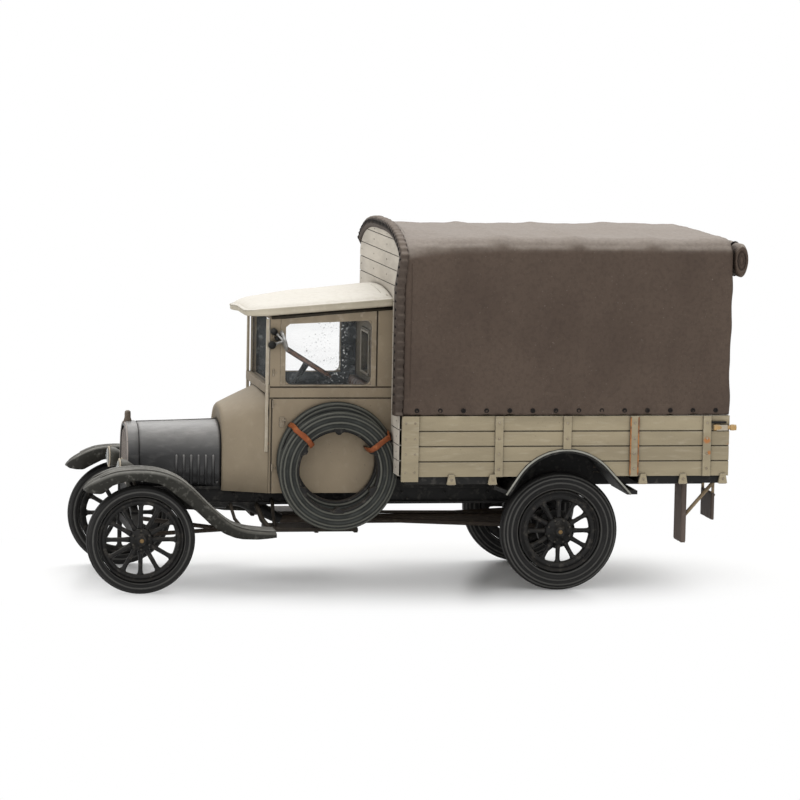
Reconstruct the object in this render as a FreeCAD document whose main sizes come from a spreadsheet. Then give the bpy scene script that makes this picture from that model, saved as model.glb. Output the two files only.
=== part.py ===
"""Scale model, about 1:87, of an early light army truck with a closed cab and a canvas tilt.

Millimetres at the model's own size. +X points to the radiator, +Y to the driver's side and +Z up.
The origin is on the floor, below the middle of the overall length and width.
"""
import FreeCAD
import Part
import Sketcher
import math
import os
from FreeCAD import Placement, Rotation, Vector

# Driving sizes. "_x", "_y" and "_z" are places in the model's frame, the rest are lengths.
SIZES = {
    # Axles and wheels
    "front_axle_x": 23.5,
    "wheel_base": 36.2,
    "track": 16.5,
    "front_tyre_radius": 4.64,
    "front_tyre_width": 1.3,
    "front_rim_radius": 3.62,
    "front_felloe_radius": 3.05,
    "front_rim_width": 0.86,
    "front_hub_radius": 0.84,
    "front_hub_flange": 0.62,
    "rear_tyre_radius": 5.13,
    "rear_tyre_width": 1.65,
    "rear_rim_radius": 3.56,
    "rear_felloe_radius": 2.5,
    "rear_rim_width": 1.1,
    "rear_hub_radius": 1.15,
    "rear_hub_flange": 0.6,
    "hub_length": 1.5,
    "hub_wall": 0.14,
    "hub_cap_radius": 0.42,
    "hub_cap_length": 0.28,
    "spoke_width": 0.34,
    "spoke_depth": 0.5,
    "spindle_radius": 0.34,
    "running_gap": 0.06,
    "rim_seat_gap": 0.02,
    "seat_gap": 0.02,
    # Chassis
    "rail_outer_y": 3.5,
    "rail_width": 0.6,
    "rail_height": 1.6,
    "rail_web": 0.22,
    "rail_tail": 2.9,
    "frame_top_z": 8.5,
    "member_width": 1.0,
    "member_height": 1.2,
    "axle_beam_height": 0.7,
    "axle_beam_width": 0.5,
    "knuckle_width": 0.8,
    "knuckle_height": 1.5,
    "knuckle_y": 6.75,
    "leaf_thickness": 0.24,
    "leaf_width": 0.66,
    "spring_reach": 5.4,
    "axle_tube_radius": 0.5,
    "drum_radius": 1.7,
    "drum_width": 0.7,
    "drum_gap": 0.1,
    "differential_radius": 1.4,
    "differential_reach": 1.7,
    "torque_tube_radius": 0.42,
    "stay_rod_radius": 0.2,
    "front_rod_reach": 7.4,
    "rear_rod_reach": 14.5,
    # Engine and nose
    "radiator_front_x": 24.1,
    "radiator_depth": 1.0,
    "radiator_half_width": 2.9,
    "radiator_bottom_z": 8.5,
    "radiator_shoulder_z": 12.4,
    "radiator_crown": 1.35,
    "radiator_wall": 0.35,
    "radiator_edge": 0.28,
    "core_recess": 0.25,
    "fin_width": 0.16,
    "cap_radius": 0.3,
    "cap_height": 1.0,
    "bonnet_rear_half_width": 3.55,
    "bonnet_rear_shoulder_z": 12.5,
    "bonnet_rear_crown": 1.45,
    "bonnet_wall": 0.35,
    "louvre_pitch": 0.63,
    "louvre_first_x": 16.75,
    "louvre_height": 2.8,
    "louvre_width": 0.26,
    "louvre_proud": 0.14,
    "louvre_middle_z": 9.9,
    "engine_length": 6.0,
    "engine_half_width": 2.1,
    "engine_front_x": 22.4,
    "engine_top_z": 12.4,
    "pan_radius": 1.9,
    "pan_drop": 0.45,
    "flywheel_radius": 2.0,
    "flywheel_width": 1.3,
    "gearbox_rear_x": 10.4,
    "gearbox_length": 3.0,
    "gearbox_half_width": 1.1,
    "gearbox_bottom_z": 4.6,
    "gearbox_height": 2.9,
    # Cowl and cab
    "cowl_front_x": 16.05,
    "cowl_front_half_width": 3.95,
    "cowl_front_shoulder_z": 13.3,
    "cowl_front_crown": 2.0,
    "cowl_rear_shoulder_z": 15.4,
    "cowl_rear_crown": 1.45,
    "cowl_wall": 0.4,
    "body_bottom_z": 8.2,
    "pillar_bead": 0.4,
    "pillar_bead_proud": 0.1,
    "pillar_bead_foot_z": 12.0,
    "cab_front_x": 12.3,
    "cab_rear_x": 1.65,
    "cab_half_width": 5.9,
    "cab_wall": 0.55,
    "rear_wall": 1.3,
    "cab_floor_thickness": 0.4,
    "window_front_x": 10.97,
    "near_window_rear_x": 3.55,
    "far_window_rear_x": 4.35,
    "window_sill_z": 17.55,
    "window_height": 5.55,
    "window_corner": 0.55,
    "sill_line_z": 17.35,
    "belt_line_z": 16.4,
    "door_line_x": 12.1,
    "quarter_line_x": 3.05,
    "groove_width": 0.14,
    "groove_depth": 0.14,
    "rear_window_half_width": 1.9,
    "rear_window_sill_z": 18.1,
    "rear_window_height": 3.5,
    "rear_window_frame": 0.28,
    "glass_thickness": 0.14,
    "roof_front_x": 14.15,
    "roof_rear_x": 1.55,
    "roof_half_width": 6.5,
    "roof_front_z": 23.35,
    "roof_rear_z": 24.4,
    "roof_edge": 0.7,
    "roof_round": 0.22,
    "roof_front_crown": 0.1,
    "roof_rear_crown": 0.7,
    "roof_nose": 0.5,
    "screen_frame_width": 0.35,
    "screen_frame_depth": 0.35,
    "screen_bar_depth": 0.4,
    "screen_bar_height": 0.7,
    "steering_radius": 2.2,
    "steering_rim_radius": 0.2,
    "steering_y": 2.9,
    "steering_x": 8.6,
    "steering_z": 19.2,
    "column_radius": 0.2,
    "seat_gap_behind": 0.1,
    "seat_depth": 3.8,
    "seat_side_gap": 0.35,
    "seat_height": 4.2,
    "seat_back_depth": 0.9,
    "lamp_radius": 1.15,
    "lamp_lens_x": 25.25,
    "lamp_depth": 1.9,
    "lamp_rim": 0.35,
    "lamp_y": 5.0,
    "lamp_z": 10.25,
    "lamp_post": 0.36,
    "mirror_radius": 0.82,
    "mirror_thickness": 0.2,
    "mirror_x": 11.25,
    "mirror_out": 0.92,
    "mirror_z": 21.4,
    "mirror_knob_x": 12.02,
    "mirror_knob_radius": 0.24,
    "mirror_knob_length": 0.4,
    "mirror_knob_low_z": 21.05,
    "mirror_knob_high_z": 22.2,
    # Mudguards and running boards
    "mudguard_radius": 6.87,
    "mudguard_ahead": 0.3,
    "mudguard_centre_z": 4.2,
    "sweep_radius": 5.2,
    "sweep_back": 11.1,
    "mudguard_out": 1.1,
    "mudguard_in": 1.5,
    "mudguard_thickness": 0.3,
    "mudguard_step": 0.1,
    "mudguard_edge_width": 0.32,
    "mudguard_skirt": 0.7,
    "valance_depth": 1.7,
    "valance_thickness": 0.22,
    "stay_width": 0.4,
    "stay_height": 0.35,
    "rear_stay_x": 14.4,
    "board_top_z": 5.6,
    "board_thickness": 0.42,
    "board_outer_y": 7.0,
    "board_front_x": 12.6,
    "board_rear_x": 2.4,
    "board_post": 0.6,
    "rear_arch_z": 7.5,
    "rear_arch_radius": 5.05,
    "rear_arch_end_z": 8.6,
    "rear_arch_thickness": 0.32,
    "rear_arch_inner_y": 5.2,
    "rear_arch_wall": 0.3,
    "rear_arch_wall_z": 8.9,
    "arch_lip": 0.12,
    "arch_curl": 1.0,
    # Spare tyres
    "spare_x": 6.55,
    "spare_inner_z": 11.0,
    "spare_drop": 0.65,
    "spare_radius": 5.15,
    "spare_hole_radius": 3.5,
    "spare_thickness": 1.15,
    "spare_lug": 0.3,
    "strap_width": 0.75,
    "strap_thickness": 0.14,
    "strap_inner_radius": 3.02,
    "strap_outer_radius": 5.75,
    # Bed and tilt
    "bed_front_x": 1.4,
    "bed_length": 28.4,
    "bed_half_width": 10.9,
    "bed_bottom_z": 10.2,
    "side_height": 5.2,
    "side_board": 0.55,
    "plank_gap": 0.12,
    "plank_gap_depth": 0.12,
    "batten_proud": 0.2,
    "batten_width": 0.68,
    "corner_plate_width": 1.45,
    "corner_plate_lap": 0.27,
    "corner_plate_drop": 0.4,
    "floor_thickness": 0.5,
    "bearer_width": 0.7,
    "bearer_height": 0.65,
    "outer_sill_width": 0.5,
    "sill_inset": 0.15,
    "headboard_thickness": 0.5,
    "head_plank_pitch": 1.46,
    "tilt_wall": 0.45,
    "tilt_bottom_z": 15.45,
    "tilt_spring_z": 28.9,
    "tilt_shoulder": 1.75,
    "tilt_crown": 0.45,
    "hem_length": 1.1,
    "hem_proud": 0.3,
    "hem_rise": 0.42,
    "hem_thickness": 0.33,
    "hem_lap": 0.7,
    "roll_height": 3.2,
    "roll_depth": 1.45,
    "roll_z": 28.75,
    "roll_hollow": 0.9,
    "latch_z": 14.4,
    "latch_length": 1.95,
    "latch_overhang": 0.5,
    "latch_radius": 0.15,
    "latch_knob_radius": 0.25,
    "latch_knob_length": 0.5,
    # Boards hung below the rear end
    "flap_inset": 1.7,
    "flap_width": 2.6,
    "flap_thickness": 0.45,
    "flap_bottom_z": 4.1,
    "strut_radius": 0.16,
    "strut_foot_z": 6.2,
    "tail_board_inset": 2.9,
    "tail_board_width": 3.7,
    "tail_board_top_z": 8.3,
    "tail_board_height": 2.4,
    "tail_board_thickness": 0.3,
    "hanger_width": 0.3,
}

# Counts, shares and angles that no length drives.
SPOKES = 12
ROUND_SIDES = 12
FELLOE_SIDES = 24
RING_SIDES = 16
BAR_SIDES = 6
CROWN_CHORDS = 8
CORNER_CHORDS = 3
LOUVRES = 6
FINS = 9
SIDE_PLANKS = 4
SPARE_LUGS = 6
BEARERS_PER_GROUP = 3
CASE_SHARE = 0.35
TUNNEL_TOP = 0.7
LAMP_POST_BACK = 0.7
BOWL_SHARES = (0.94, 0.3)
SPOKE_BAR = 0.7
SPOKE_SEAT = 0.2
MEMBER_STEP = 1.6
PAN_CLEARANCE, TUBE_CLEARANCE = 1.3, 1.6
CAP_FOOT = (1.35, 0.3)
TAB_FOOT, TAB_NECK = 0.55, 0.34
GATE_BATTENS = 0.62
ROLL_HOLLOW = (0.5, 0.7)
TYRE_BEAD, TYRE_BELLY, TYRE_TREAD = 0.66, 0.52, 0.46
LEAF_REACHES = (1.0, 0.7, 0.4)
LEAF_STATIONS = (-1.08, -1.0, -0.7, -0.4, -0.15, 0.15, 0.4, 0.7, 1.0, 1.08)
BATTEN_PLACES = (0.287, 0.4965, 0.704, 0.9296)
STEERING_TILT = math.radians(32)
STRAP_ANGLES = (math.radians(43.6), math.radians(147.5))
MUDGUARD_TIP = math.radians(48.4)
ARCH_FRONT, ARCH_REAR = math.radians(32), math.radians(138)
MIRROR_LEAN = math.radians(16)

document = FreeCAD.newDocument("army_truck_model")
sheet = document.addObject("Spreadsheet::Sheet", "sizes")
for row, (alias, value) in enumerate(SIZES.items(), start=1):
    sheet.set("A%d" % row, alias)
    sheet.set("B%d" % row, str(value))
    sheet.setAlias("B%d" % row, alias)
document.recompute()


class Size:
    """A length that knows its value and the sheet expression that gives it."""

    def __init__(self, value, text):
        self.value = value
        self.text = text

    def __float__(self):
        return float(self.value)

    def __add__(self, other):
        return Size(float(self) + float(other), "(%s + %s)" % (self.text, text_of(other)))

    def __radd__(self, other):
        return as_size(other) + self

    def __sub__(self, other):
        return Size(float(self) - float(other), "(%s - %s)" % (self.text, text_of(other)))

    def __rsub__(self, other):
        return as_size(other) - self

    def __mul__(self, other):
        return Size(float(self) * float(other), "(%s * %s)" % (self.text, text_of(other)))

    def __rmul__(self, other):
        return as_size(other) * self

    def __truediv__(self, other):
        return Size(float(self) / float(other), "(%s / %s)" % (self.text, text_of(other)))

    def __neg__(self):
        return Size(-float(self), "(0 - %s)" % self.text)


def text_of(number):
    """The expression text of a Size or of a plain number."""
    return number.text if isinstance(number, Size) else repr(float(number))


def as_size(number):
    """A plain number as a Size, and a Size as it is."""
    return number if isinstance(number, Size) else Size(float(number), repr(float(number)))


def root_of(number):
    """The square root of a Size."""
    return Size(math.sqrt(float(number)), "sqrt(%s)" % number.text)


class SheetSizes:
    """Reads each alias of the sheet as a Size."""

    def __getattr__(self, alias):
        return Size(float(sheet.get(alias)), "sizes.%s" % alias)


s = SheetSizes()
rear_axle_x = s.front_axle_x - s.wheel_base
wheel_y = s.track / 2
rail_inner_y = s.rail_outer_y - s.rail_width
frame_front_x = s.radiator_front_x - s.rail_web / 2
frame_rear_x = rear_axle_x - s.rail_tail
frame_bottom_z = s.frame_top_z - s.rail_height
member_bottom_z = s.frame_top_z - s.member_height
pan_z = frame_bottom_z - s.pan_drop
radiator_rear_x = s.radiator_front_x - s.radiator_depth
cab_inner_y = s.cab_half_width - s.cab_wall
cab_inner_x = s.cab_rear_x + s.rear_wall
cab_floor_z = s.frame_top_z + s.cab_floor_thickness
screen_base_z = s.cowl_rear_shoulder_z + s.cowl_rear_crown
roof_slope = (s.roof_rear_z - s.roof_front_z) / (s.roof_front_x - s.roof_rear_x)
lamp_post_x = s.lamp_lens_x - s.lamp_depth * LAMP_POST_BACK
board_bottom_z = s.board_top_z - s.board_thickness
mudguard_outer_y = wheel_y + s.mudguard_out
mudguard_inner_y = wheel_y - s.mudguard_in
bed_rear_x = s.bed_front_x - s.bed_length
bed_inner_y = s.bed_half_width - s.side_board
bed_floor_z = s.bed_bottom_z + s.floor_thickness
bed_top_z = s.bed_bottom_z + s.side_height
bearer_bottom_z = s.bed_bottom_z - s.bearer_height
nodes = []


def roof_underside(x):
    """Height of the roof's underside at a place along the cab."""
    return s.roof_front_z + roof_slope * (s.roof_front_x - x)


def between(first, second, share):
    """The value a share of the way from the first to the second."""
    return first + (second - first) * share


def bonnet_half_width(x):
    """Half-width of the bonnet, which narrows from the cowl to the radiator."""
    share = (x - s.cowl_front_x) / (radiator_rear_x - s.cowl_front_x)
    return s.bonnet_rear_half_width + (s.radiator_half_width - s.bonnet_rear_half_width) * share


def cowl_half_width(x):
    """Half-width of the cowl, which widens from the bonnet to the cab."""
    share = (x - s.cowl_front_x) / (s.cab_front_x - s.cowl_front_x)
    return s.cowl_front_half_width + (s.cab_half_width - s.cowl_front_half_width) * share


def bearer_places():
    """Middles of the cross bearers: a group ahead of the wheel arches and one behind them."""
    half = s.bearer_width / 2
    front = (s.bed_front_x - half - s.sill_inset, rear_axle_x + s.rear_arch_radius + 2 * s.bearer_width)
    rear = (rear_axle_x - s.rear_arch_radius - 2.4 * s.bearer_width, bed_rear_x + half + s.sill_inset)
    shares = [index / (BEARERS_PER_GROUP - 1) for index in range(BEARERS_PER_GROUP)]
    return [between(first, last, share) for first, last in (front, rear) for share in shares]


def bind(item, **values):
    """Sets properties of an object, each bound to the sheet where it is a Size."""
    for name, number in values.items():
        path = name.replace("__", ".")
        if isinstance(number, Size):
            item.setExpression(path, number.text)
        else:
            setattr(item, name, number)
    return item


def move(item, x=0, y=0, z=0):
    """Binds the place of an object."""
    for axis, number in zip("xyz", (x, y, z)):
        item.setExpression("Placement.Base." + axis, text_of(number))
    return item


def node(item, label):
    """Lists an object as a sub-part and gives it the sub-part's name."""
    item.Label = label
    nodes.append(item)
    return item


def bare_body(label):
    """A new PartDesign body that is one piece of a sub-part."""
    return document.addObject("PartDesign::Body", label)


def new_body(label):
    """A new PartDesign body that is a sub-part."""
    return node(bare_body(label), label)


# Each plane's pad runs towards the positive axis; the flag says whether its own normal already does.
PLANES = {"XY": ("XY_Plane", True), "XZ": ("XZ_Plane", False), "YZ": ("YZ_Plane", True)}


def new_sketch(body, name, plane, start):
    """A sketch on an origin plane of its body, moved to the place start along the plane's axis."""
    role, forward = PLANES[plane]
    sketch = body.newObject("Sketcher::SketchObject", name)
    origin_plane = [item for item in body.Origin.OriginFeatures if item.Role == role][0]
    sketch.AttachmentSupport = (origin_plane, [""])
    sketch.MapMode = "FlatFace"
    offset = as_size(start) if forward else -as_size(start)
    sketch.setExpression("AttachmentOffset.Base.z", offset.text)
    return sketch


def pin_point(sketch, geometry, end, point):
    """Holds one end of a sketch element at a bound point."""
    for kind, number in zip(("DistanceX", "DistanceY"), point):
        index = sketch.addConstraint(
            Sketcher.Constraint(kind, -1, 1, geometry, end, float(number)))
        if isinstance(number, Size):
            sketch.setExpression("Constraints[%d]" % index, number.text)


def add_polygon(sketch, corners):
    """A closed outline of straight lines through bound corners."""
    first = sketch.GeometryCount
    count = len(corners)
    ends = [Vector(float(x), float(z), 0) for x, z in corners]
    for index in range(count):
        line = Part.LineSegment(ends[index], ends[(index + 1) % count])
        sketch.addGeometry(line, False)
    for index in range(count):
        following = first + (index + 1) % count
        sketch.addConstraint(Sketcher.Constraint("Coincident", first + index, 2, following, 1))
        pin_point(sketch, first + index, 1, corners[index])


def add_circle(sketch, x, y, radius):
    """A bound circle."""
    circle = Part.Circle(Vector(float(x), float(y), 0), Vector(0, 0, 1), float(radius))
    index = sketch.addGeometry(circle, False)
    pin_point(sketch, index, 3, (x, y))
    constraint = sketch.addConstraint(Sketcher.Constraint("Radius", index, float(radius)))
    if isinstance(radius, Size):
        sketch.setExpression("Constraints[%d]" % constraint, radius.text)


def add_polygons(sketch, outlines):
    """Several closed outlines that don't touch."""
    for corners in outlines:
        add_polygon(sketch, corners)


def draw(sketch, outline):
    """Draws one outline: a list of corners, or a function that draws into the sketch."""
    if callable(outline):
        outline(sketch)
    else:
        add_polygon(sketch, outline)


def circle(x, y, radius):
    """A circle outline for draw."""
    return lambda sketch: add_circle(sketch, x, y, radius)


def several(outlines):
    """Several outlines for draw."""
    return lambda sketch: add_polygons(sketch, outlines)


def rectangle(low_x, low_y, high_x, high_y):
    """Corners of an upright rectangle."""
    return [(low_x, low_y), (high_x, low_y), (high_x, high_y), (low_x, high_y)]


def rounded_rectangle(low_x, low_y, high_x, high_y, radius):
    """Corners of a rectangle whose corners are rounded by short chords."""
    middles = ((high_x - radius, high_y - radius), (low_x + radius, high_y - radius),
               (low_x + radius, low_y + radius), (high_x - radius, low_y + radius))
    corners = []
    for quarter, (x, y) in enumerate(middles):
        for step in range(CORNER_CHORDS + 1):
            angle = (quarter + step / CORNER_CHORDS) * math.pi / 2
            corners.append((x + radius * math.cos(angle), y + radius * math.sin(angle)))
    return corners


def round_outline(x, y, radius_x, radius_y=None, sides=ROUND_SIDES):
    """Corners of a regular polygon, or of an oval one where two radii are given."""
    if radius_y is None:
        radius_y = radius_x
    angles = [(index + 0.5) * 2 * math.pi / sides for index in range(sides)]
    return [(x + radius_x * math.cos(angle), y + radius_y * math.sin(angle)) for angle in angles]


def arch(half_width, bottom, spring, crown, shoulder=0):
    """Corners of an arch: level foot, upright sides, rounded shoulders and a shallow crowned top."""
    right = [(half_width, bottom), (half_width, spring)]
    if shoulder:
        for step in range(1, CORNER_CHORDS + 1):
            angle = step / CORNER_CHORDS * math.pi / 2
            inset = shoulder * (1 - math.cos(angle))
            right.append((half_width - inset, spring + shoulder * math.sin(angle)))
    edge_y, edge_z = right[-1]
    for step in range(1, CROWN_CHORDS // 2):
        share = 1 - 2 * step / CROWN_CHORDS
        right.append((edge_y * share, edge_z + crown * (1 - share * share)))
    left = [(-y, z) for y, z in reversed(right)]
    return right + [(0.0, edge_z + crown)] + left


def tunnel(half_width, bottom, spring, rise=0):
    """Corners of a plain hollow: level foot, upright sides and a flat top with slanted corners."""
    corners = [(half_width, bottom), (half_width, spring)]
    if rise:
        corners.append((half_width * TUNNEL_TOP, spring + rise * (1 - TUNNEL_TOP * TUNNEL_TOP)))
    return corners + [(-y, z) for y, z in reversed(corners)]


def pad(body, plane, outline, start, length, name="pad"):
    """Adds a prism to a body, from start towards the positive axis."""
    sketch = new_sketch(body, name + "_outline", plane, start)
    draw(sketch, outline)
    feature = body.newObject("PartDesign::Pad", name)
    feature.Profile = sketch
    feature.Reversed = not PLANES[plane][1]
    bind(feature, Length=as_size(length))
    sketch.Visibility = False
    body.Tip = feature
    document.recompute()
    return feature


def pocket(body, plane, outline, start, length, name="pocket"):
    """Cuts a prism out of a body, from start towards the positive axis."""
    before = body.Shape.Volume
    sketch = new_sketch(body, name + "_outline", plane, start)
    draw(sketch, outline)
    feature = body.newObject("PartDesign::Pocket", name)
    feature.Profile = sketch
    feature.Reversed = PLANES[plane][1]
    bind(feature, Length=as_size(length))
    sketch.Visibility = False
    body.Tip = feature
    document.recompute()
    if body.Shape.Volume >= before:
        raise RuntimeError("%s cuts nothing from %s" % (name, body.Label))
    return feature


def revolve(body, plane, outline, axis, name="turning"):
    """Adds a full turn of an outline about the sketch's own axis, H or V."""
    sketch = new_sketch(body, name + "_outline", plane, 0)
    draw(sketch, outline)
    feature = body.newObject("PartDesign::Revolution", name)
    feature.Profile = sketch
    feature.ReferenceAxis = (sketch, [axis + "_Axis"])
    feature.Angle = 360.0
    sketch.Visibility = False
    body.Tip = feature
    document.recompute()
    return feature


def loft(body, plane, first, second, name="loft", cutting=False):
    """Adds or cuts a ruled solid between two outlines, each given with its place along the plane's axis."""
    sketches = []
    for index, (outline, start) in enumerate((first, second)):
        sketch = new_sketch(body, "%s_outline_%d" % (name, index + 1), plane, start)
        draw(sketch, outline)
        sketch.Visibility = False
        sketches.append(sketch)
    document.recompute()
    feature = body.newObject("PartDesign::SubtractiveLoft" if cutting else "PartDesign::AdditiveLoft", name)
    feature.Profile = sketches[0]
    feature.Sections = [sketches[1]]
    feature.Ruled = True
    body.Tip = feature
    document.recompute()
    return feature


def break_edges(body, wanted, size, name="broken_edges"):
    """Chamfers the edges of a body that the test wanted picks."""
    picked = ["Edge%d" % (index + 1) for index, edge in enumerate(body.Shape.Edges) if wanted(edge)]
    base = body.Tip
    feature = body.newObject("PartDesign::Chamfer", name)
    feature.Base = (base, picked)
    bind(feature, Size=size)
    body.Tip = feature
    document.recompute()
    return feature


def polar_copies(body, feature, axis, count, name="copies"):
    """Repeats a feature around an axis of its own sketch."""
    pattern = body.newObject("PartDesign::PolarPattern", name)
    pattern.Originals = [feature]
    pattern.Axis = (feature.Profile[0], [axis])
    pattern.Angle = 360.0
    pattern.Occurrences = count
    body.Tip = pattern
    document.recompute()
    return pattern


def block(label, low, high):
    """A Part box from its low corner to its high corner."""
    item = document.addObject("Part::Box", label)
    spans = [as_size(b) - a for a, b in zip(low, high)]
    bind(item, Length=spans[0], Width=spans[1], Height=spans[2])
    return move(item, *low)


def rod(label, start, stop, radius, sides):
    """A many-sided Part bar between two points given in sheet sizes."""
    begin = Vector(*[float(number) for number in start])
    end = Vector(*[float(number) for number in stop])
    spans = [as_size(b) - a for a, b in zip(start, stop)]
    length = root_of(spans[0] * spans[0] + spans[1] * spans[1] + spans[2] * spans[2])
    item = document.addObject("Part::Prism", label)
    item.Polygon = sides
    bind(item, Circumradius=radius, Height=length)
    item.Placement = Placement(begin, Rotation(Vector(0, 0, 1), end - begin))
    return move(item, *start)


def join(label, pieces):
    """A Part fusion of pieces."""
    item = document.addObject("Part::MultiFuse", label)
    item.Shapes = pieces
    item.Refine = True
    document.recompute()
    return item


def fuse(label, pieces):
    """A Part fusion of pieces as one sub-part."""
    return node(join(label, pieces), label)


def group(label, pieces):
    """Like pieces that don't touch, kept as one sub-part."""
    item = document.addObject("Part::Compound", label)
    item.Links = pieces
    document.recompute()
    return node(item, label)


def tyre(label, place, outer, inner, width, flat_back=False):
    """A tyre whose axis is Y: bead, belly and tread, or pressed flat on its inner side."""
    body = new_body(label)
    half = width / 2
    belly = between(inner, outer, TYRE_BELLY)
    back = [(inner, -half * TYRE_BEAD), (belly, -half), (outer, -half * TYRE_TREAD)]
    if flat_back:
        back = [(inner, -half), (outer, -half)]
    outline = back + [(outer, half * TYRE_TREAD), (belly, half), (inner, half * TYRE_BEAD)]
    revolve(body, "XY", outline, "V")
    return move(body, *place)


def spoked_wheel(label, place, side, rim, felloe, rim_width, hub, flange):
    """A wooden artillery wheel: hub with one flat to each spoke, cap, spokes and felloe."""
    body = new_body(label)
    half = s.hub_length / 2
    bore = s.spindle_radius + s.running_gap
    pad(body, "XZ", round_outline(0, 0, hub), -flange / 2, flange, name="flange")
    pad(body, "XZ", round_outline(0, 0, bore + s.hub_wall), -half, s.hub_length, name="sleeve")
    pad(body, "XZ", round_outline(0, 0, s.hub_cap_radius), half, s.hub_cap_length, name="cap")
    pocket(body, "XZ", circle(0, 0, bore), -half, s.hub_length - s.hub_wall, name="bore")
    spoke_half = s.spoke_width / 2
    outline = rectangle(-spoke_half, hub - s.hub_wall, spoke_half, between(felloe, rim, SPOKE_SEAT))
    spoke = pad(body, "XZ", outline, -s.spoke_depth / 2, s.spoke_depth, name="spoke")
    polar_copies(body, spoke, "N_Axis", SPOKES, name="spokes")
    ring = several([round_outline(0, 0, rim, sides=FELLOE_SIDES), round_outline(0, 0, felloe)])
    pad(body, "XZ", ring, -rim_width / 2, rim_width, name="felloe")
    if side < 0:
        body.Placement = Placement(Vector(0, 0, 0), Rotation(Vector(0, 0, 1), 180))
    return move(body, *place)


def build_wheels():
    """The four tyres and the four spoked wheels, each pair of nodes turning on its own spindle."""
    for name, side in (("left", 1), ("right", -1)):
        front = (s.front_axle_x, wheel_y * side, s.front_tyre_radius)
        rear = (rear_axle_x, wheel_y * side, s.rear_tyre_radius)
        tyre("front_tyre_" + name, front, s.front_tyre_radius, s.front_rim_radius + s.rim_seat_gap,
             s.front_tyre_width)
        spoked_wheel("front_wheel_" + name, front, side, s.front_rim_radius, s.front_felloe_radius,
                     s.front_rim_width, s.front_hub_radius, s.front_hub_flange)
        tyre("rear_tyre_" + name, rear, s.rear_tyre_radius, s.rear_rim_radius + s.rim_seat_gap,
             s.rear_tyre_width)
        spoked_wheel("rear_wheel_" + name, rear, side, s.rear_rim_radius, s.rear_felloe_radius,
                     s.rear_rim_width, s.rear_hub_radius, s.rear_hub_flange)


def build_frame():
    """Two channel rails, open outwards, and the three cross members between them."""
    body = new_body("chassis_frame")
    side_view = rectangle(frame_rear_x, frame_bottom_z, frame_front_x, s.frame_top_z)
    pad(body, "XZ", side_view, rail_inner_y, s.rail_width, name="left_rail")
    members = (("front_member", s.front_axle_x - s.member_width / 2),
               ("middle_member", s.gearbox_rear_x - MEMBER_STEP * s.member_width),
               ("rear_member", rear_axle_x - s.member_width / 2))
    reach = rail_inner_y + s.rail_web
    for name, x in members:
        outline = rectangle(-reach, member_bottom_z, reach, s.frame_top_z)
        pad(body, "YZ", outline, x, s.member_width, name=name)
    pad(body, "XZ", side_view, -s.rail_outer_y, s.rail_width, name="right_rail")
    channel = rectangle(frame_rear_x + s.rail_web, frame_bottom_z + s.rail_web,
                        frame_front_x - s.rail_web, s.frame_top_z - s.rail_web)
    for name, low in (("left_channel", rail_inner_y + s.rail_web), ("right_channel", -s.rail_outer_y)):
        pocket(body, "XZ", channel, low, s.rail_width - s.rail_web, name=name)


def spindles(name, x, z, inner_y):
    """The two spindles that a pair of wheels turns on."""
    outer_y = wheel_y + s.hub_length / 2 - s.hub_wall - s.running_gap
    return [rod("%s_spindle_%d" % (name, side), (x, inner_y * side, z), (x, outer_y * side, z),
                s.spindle_radius, sides=ROUND_SIDES) for side in (1, -1)]


def build_front_axle():
    """The front axle beam with its knuckles and spindles."""
    x, z = s.front_axle_x, s.front_tyre_radius
    half = s.axle_beam_width / 2
    rise = s.axle_beam_height / 2
    pieces = [block("beam", (x - half, -s.knuckle_y, z - rise), (x + half, s.knuckle_y, z + rise))]
    low_y = s.knuckle_y - s.knuckle_width / 2
    high_y = s.knuckle_y + s.knuckle_width / 2
    for side, low, high in ((1, low_y, high_y), (-1, -high_y, -low_y)):
        pieces.append(block("knuckle_%d" % side, (x - s.knuckle_width / 2, low, z - s.knuckle_height / 2),
                            (x + s.knuckle_width / 2, high, z + s.knuckle_height / 2)))
    fuse("front_axle", pieces + spindles("front", x, z, s.knuckle_y))


def build_rear_axle():
    """The rear axle tube with its differential case, brake drums and spindles."""
    x, z = rear_axle_x, s.rear_tyre_radius
    drum_outer = wheel_y - s.hub_length / 2 - s.drum_gap
    drum_inner = drum_outer - s.drum_width
    case_half = s.differential_reach * CASE_SHARE
    neck_radius = (s.axle_tube_radius + s.differential_radius) / 2
    turned = (("tube", s.axle_tube_radius, -drum_inner, drum_inner),
              ("case", s.differential_radius, -case_half, case_half),
              ("neck", neck_radius, -s.differential_reach, s.differential_reach),
              ("left_drum", s.drum_radius, drum_inner, drum_outer),
              ("right_drum", s.drum_radius, -drum_outer, -drum_inner))
    pieces = [rod("axle_" + name, (x, low, z), (x, high, z), radius, sides=ROUND_SIDES)
              for name, radius, low, high in turned]
    fuse("rear_axle", pieces + spindles("rear", x, z, drum_inner))


def leaf_spring(label, x, foot_z):
    """A bowed cross spring: the longest leaf lies lowest and each leaf on it is shorter."""
    body = new_body(label)
    drop = member_bottom_z - len(LEAF_REACHES) * s.leaf_thickness - foot_z
    for leaf, reach in enumerate(LEAF_REACHES):
        stations = [share for share in LEAF_STATIONS if leaf == 0 or abs(share) <= reach]
        under = []
        for share in stations:
            bow = min(max((abs(share) - 0.15) / 0.85, 0), 1)
            leaf_z = foot_z + s.leaf_thickness * leaf
            under.append((s.spring_reach * share, leaf_z + drop * (1 - bow * bow)))
        over = [(y, z + s.leaf_thickness) for y, z in reversed(under)]
        pad(body, "YZ", under + over, x - s.leaf_width / 2, s.leaf_width, name="leaf_%d" % leaf)


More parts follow.
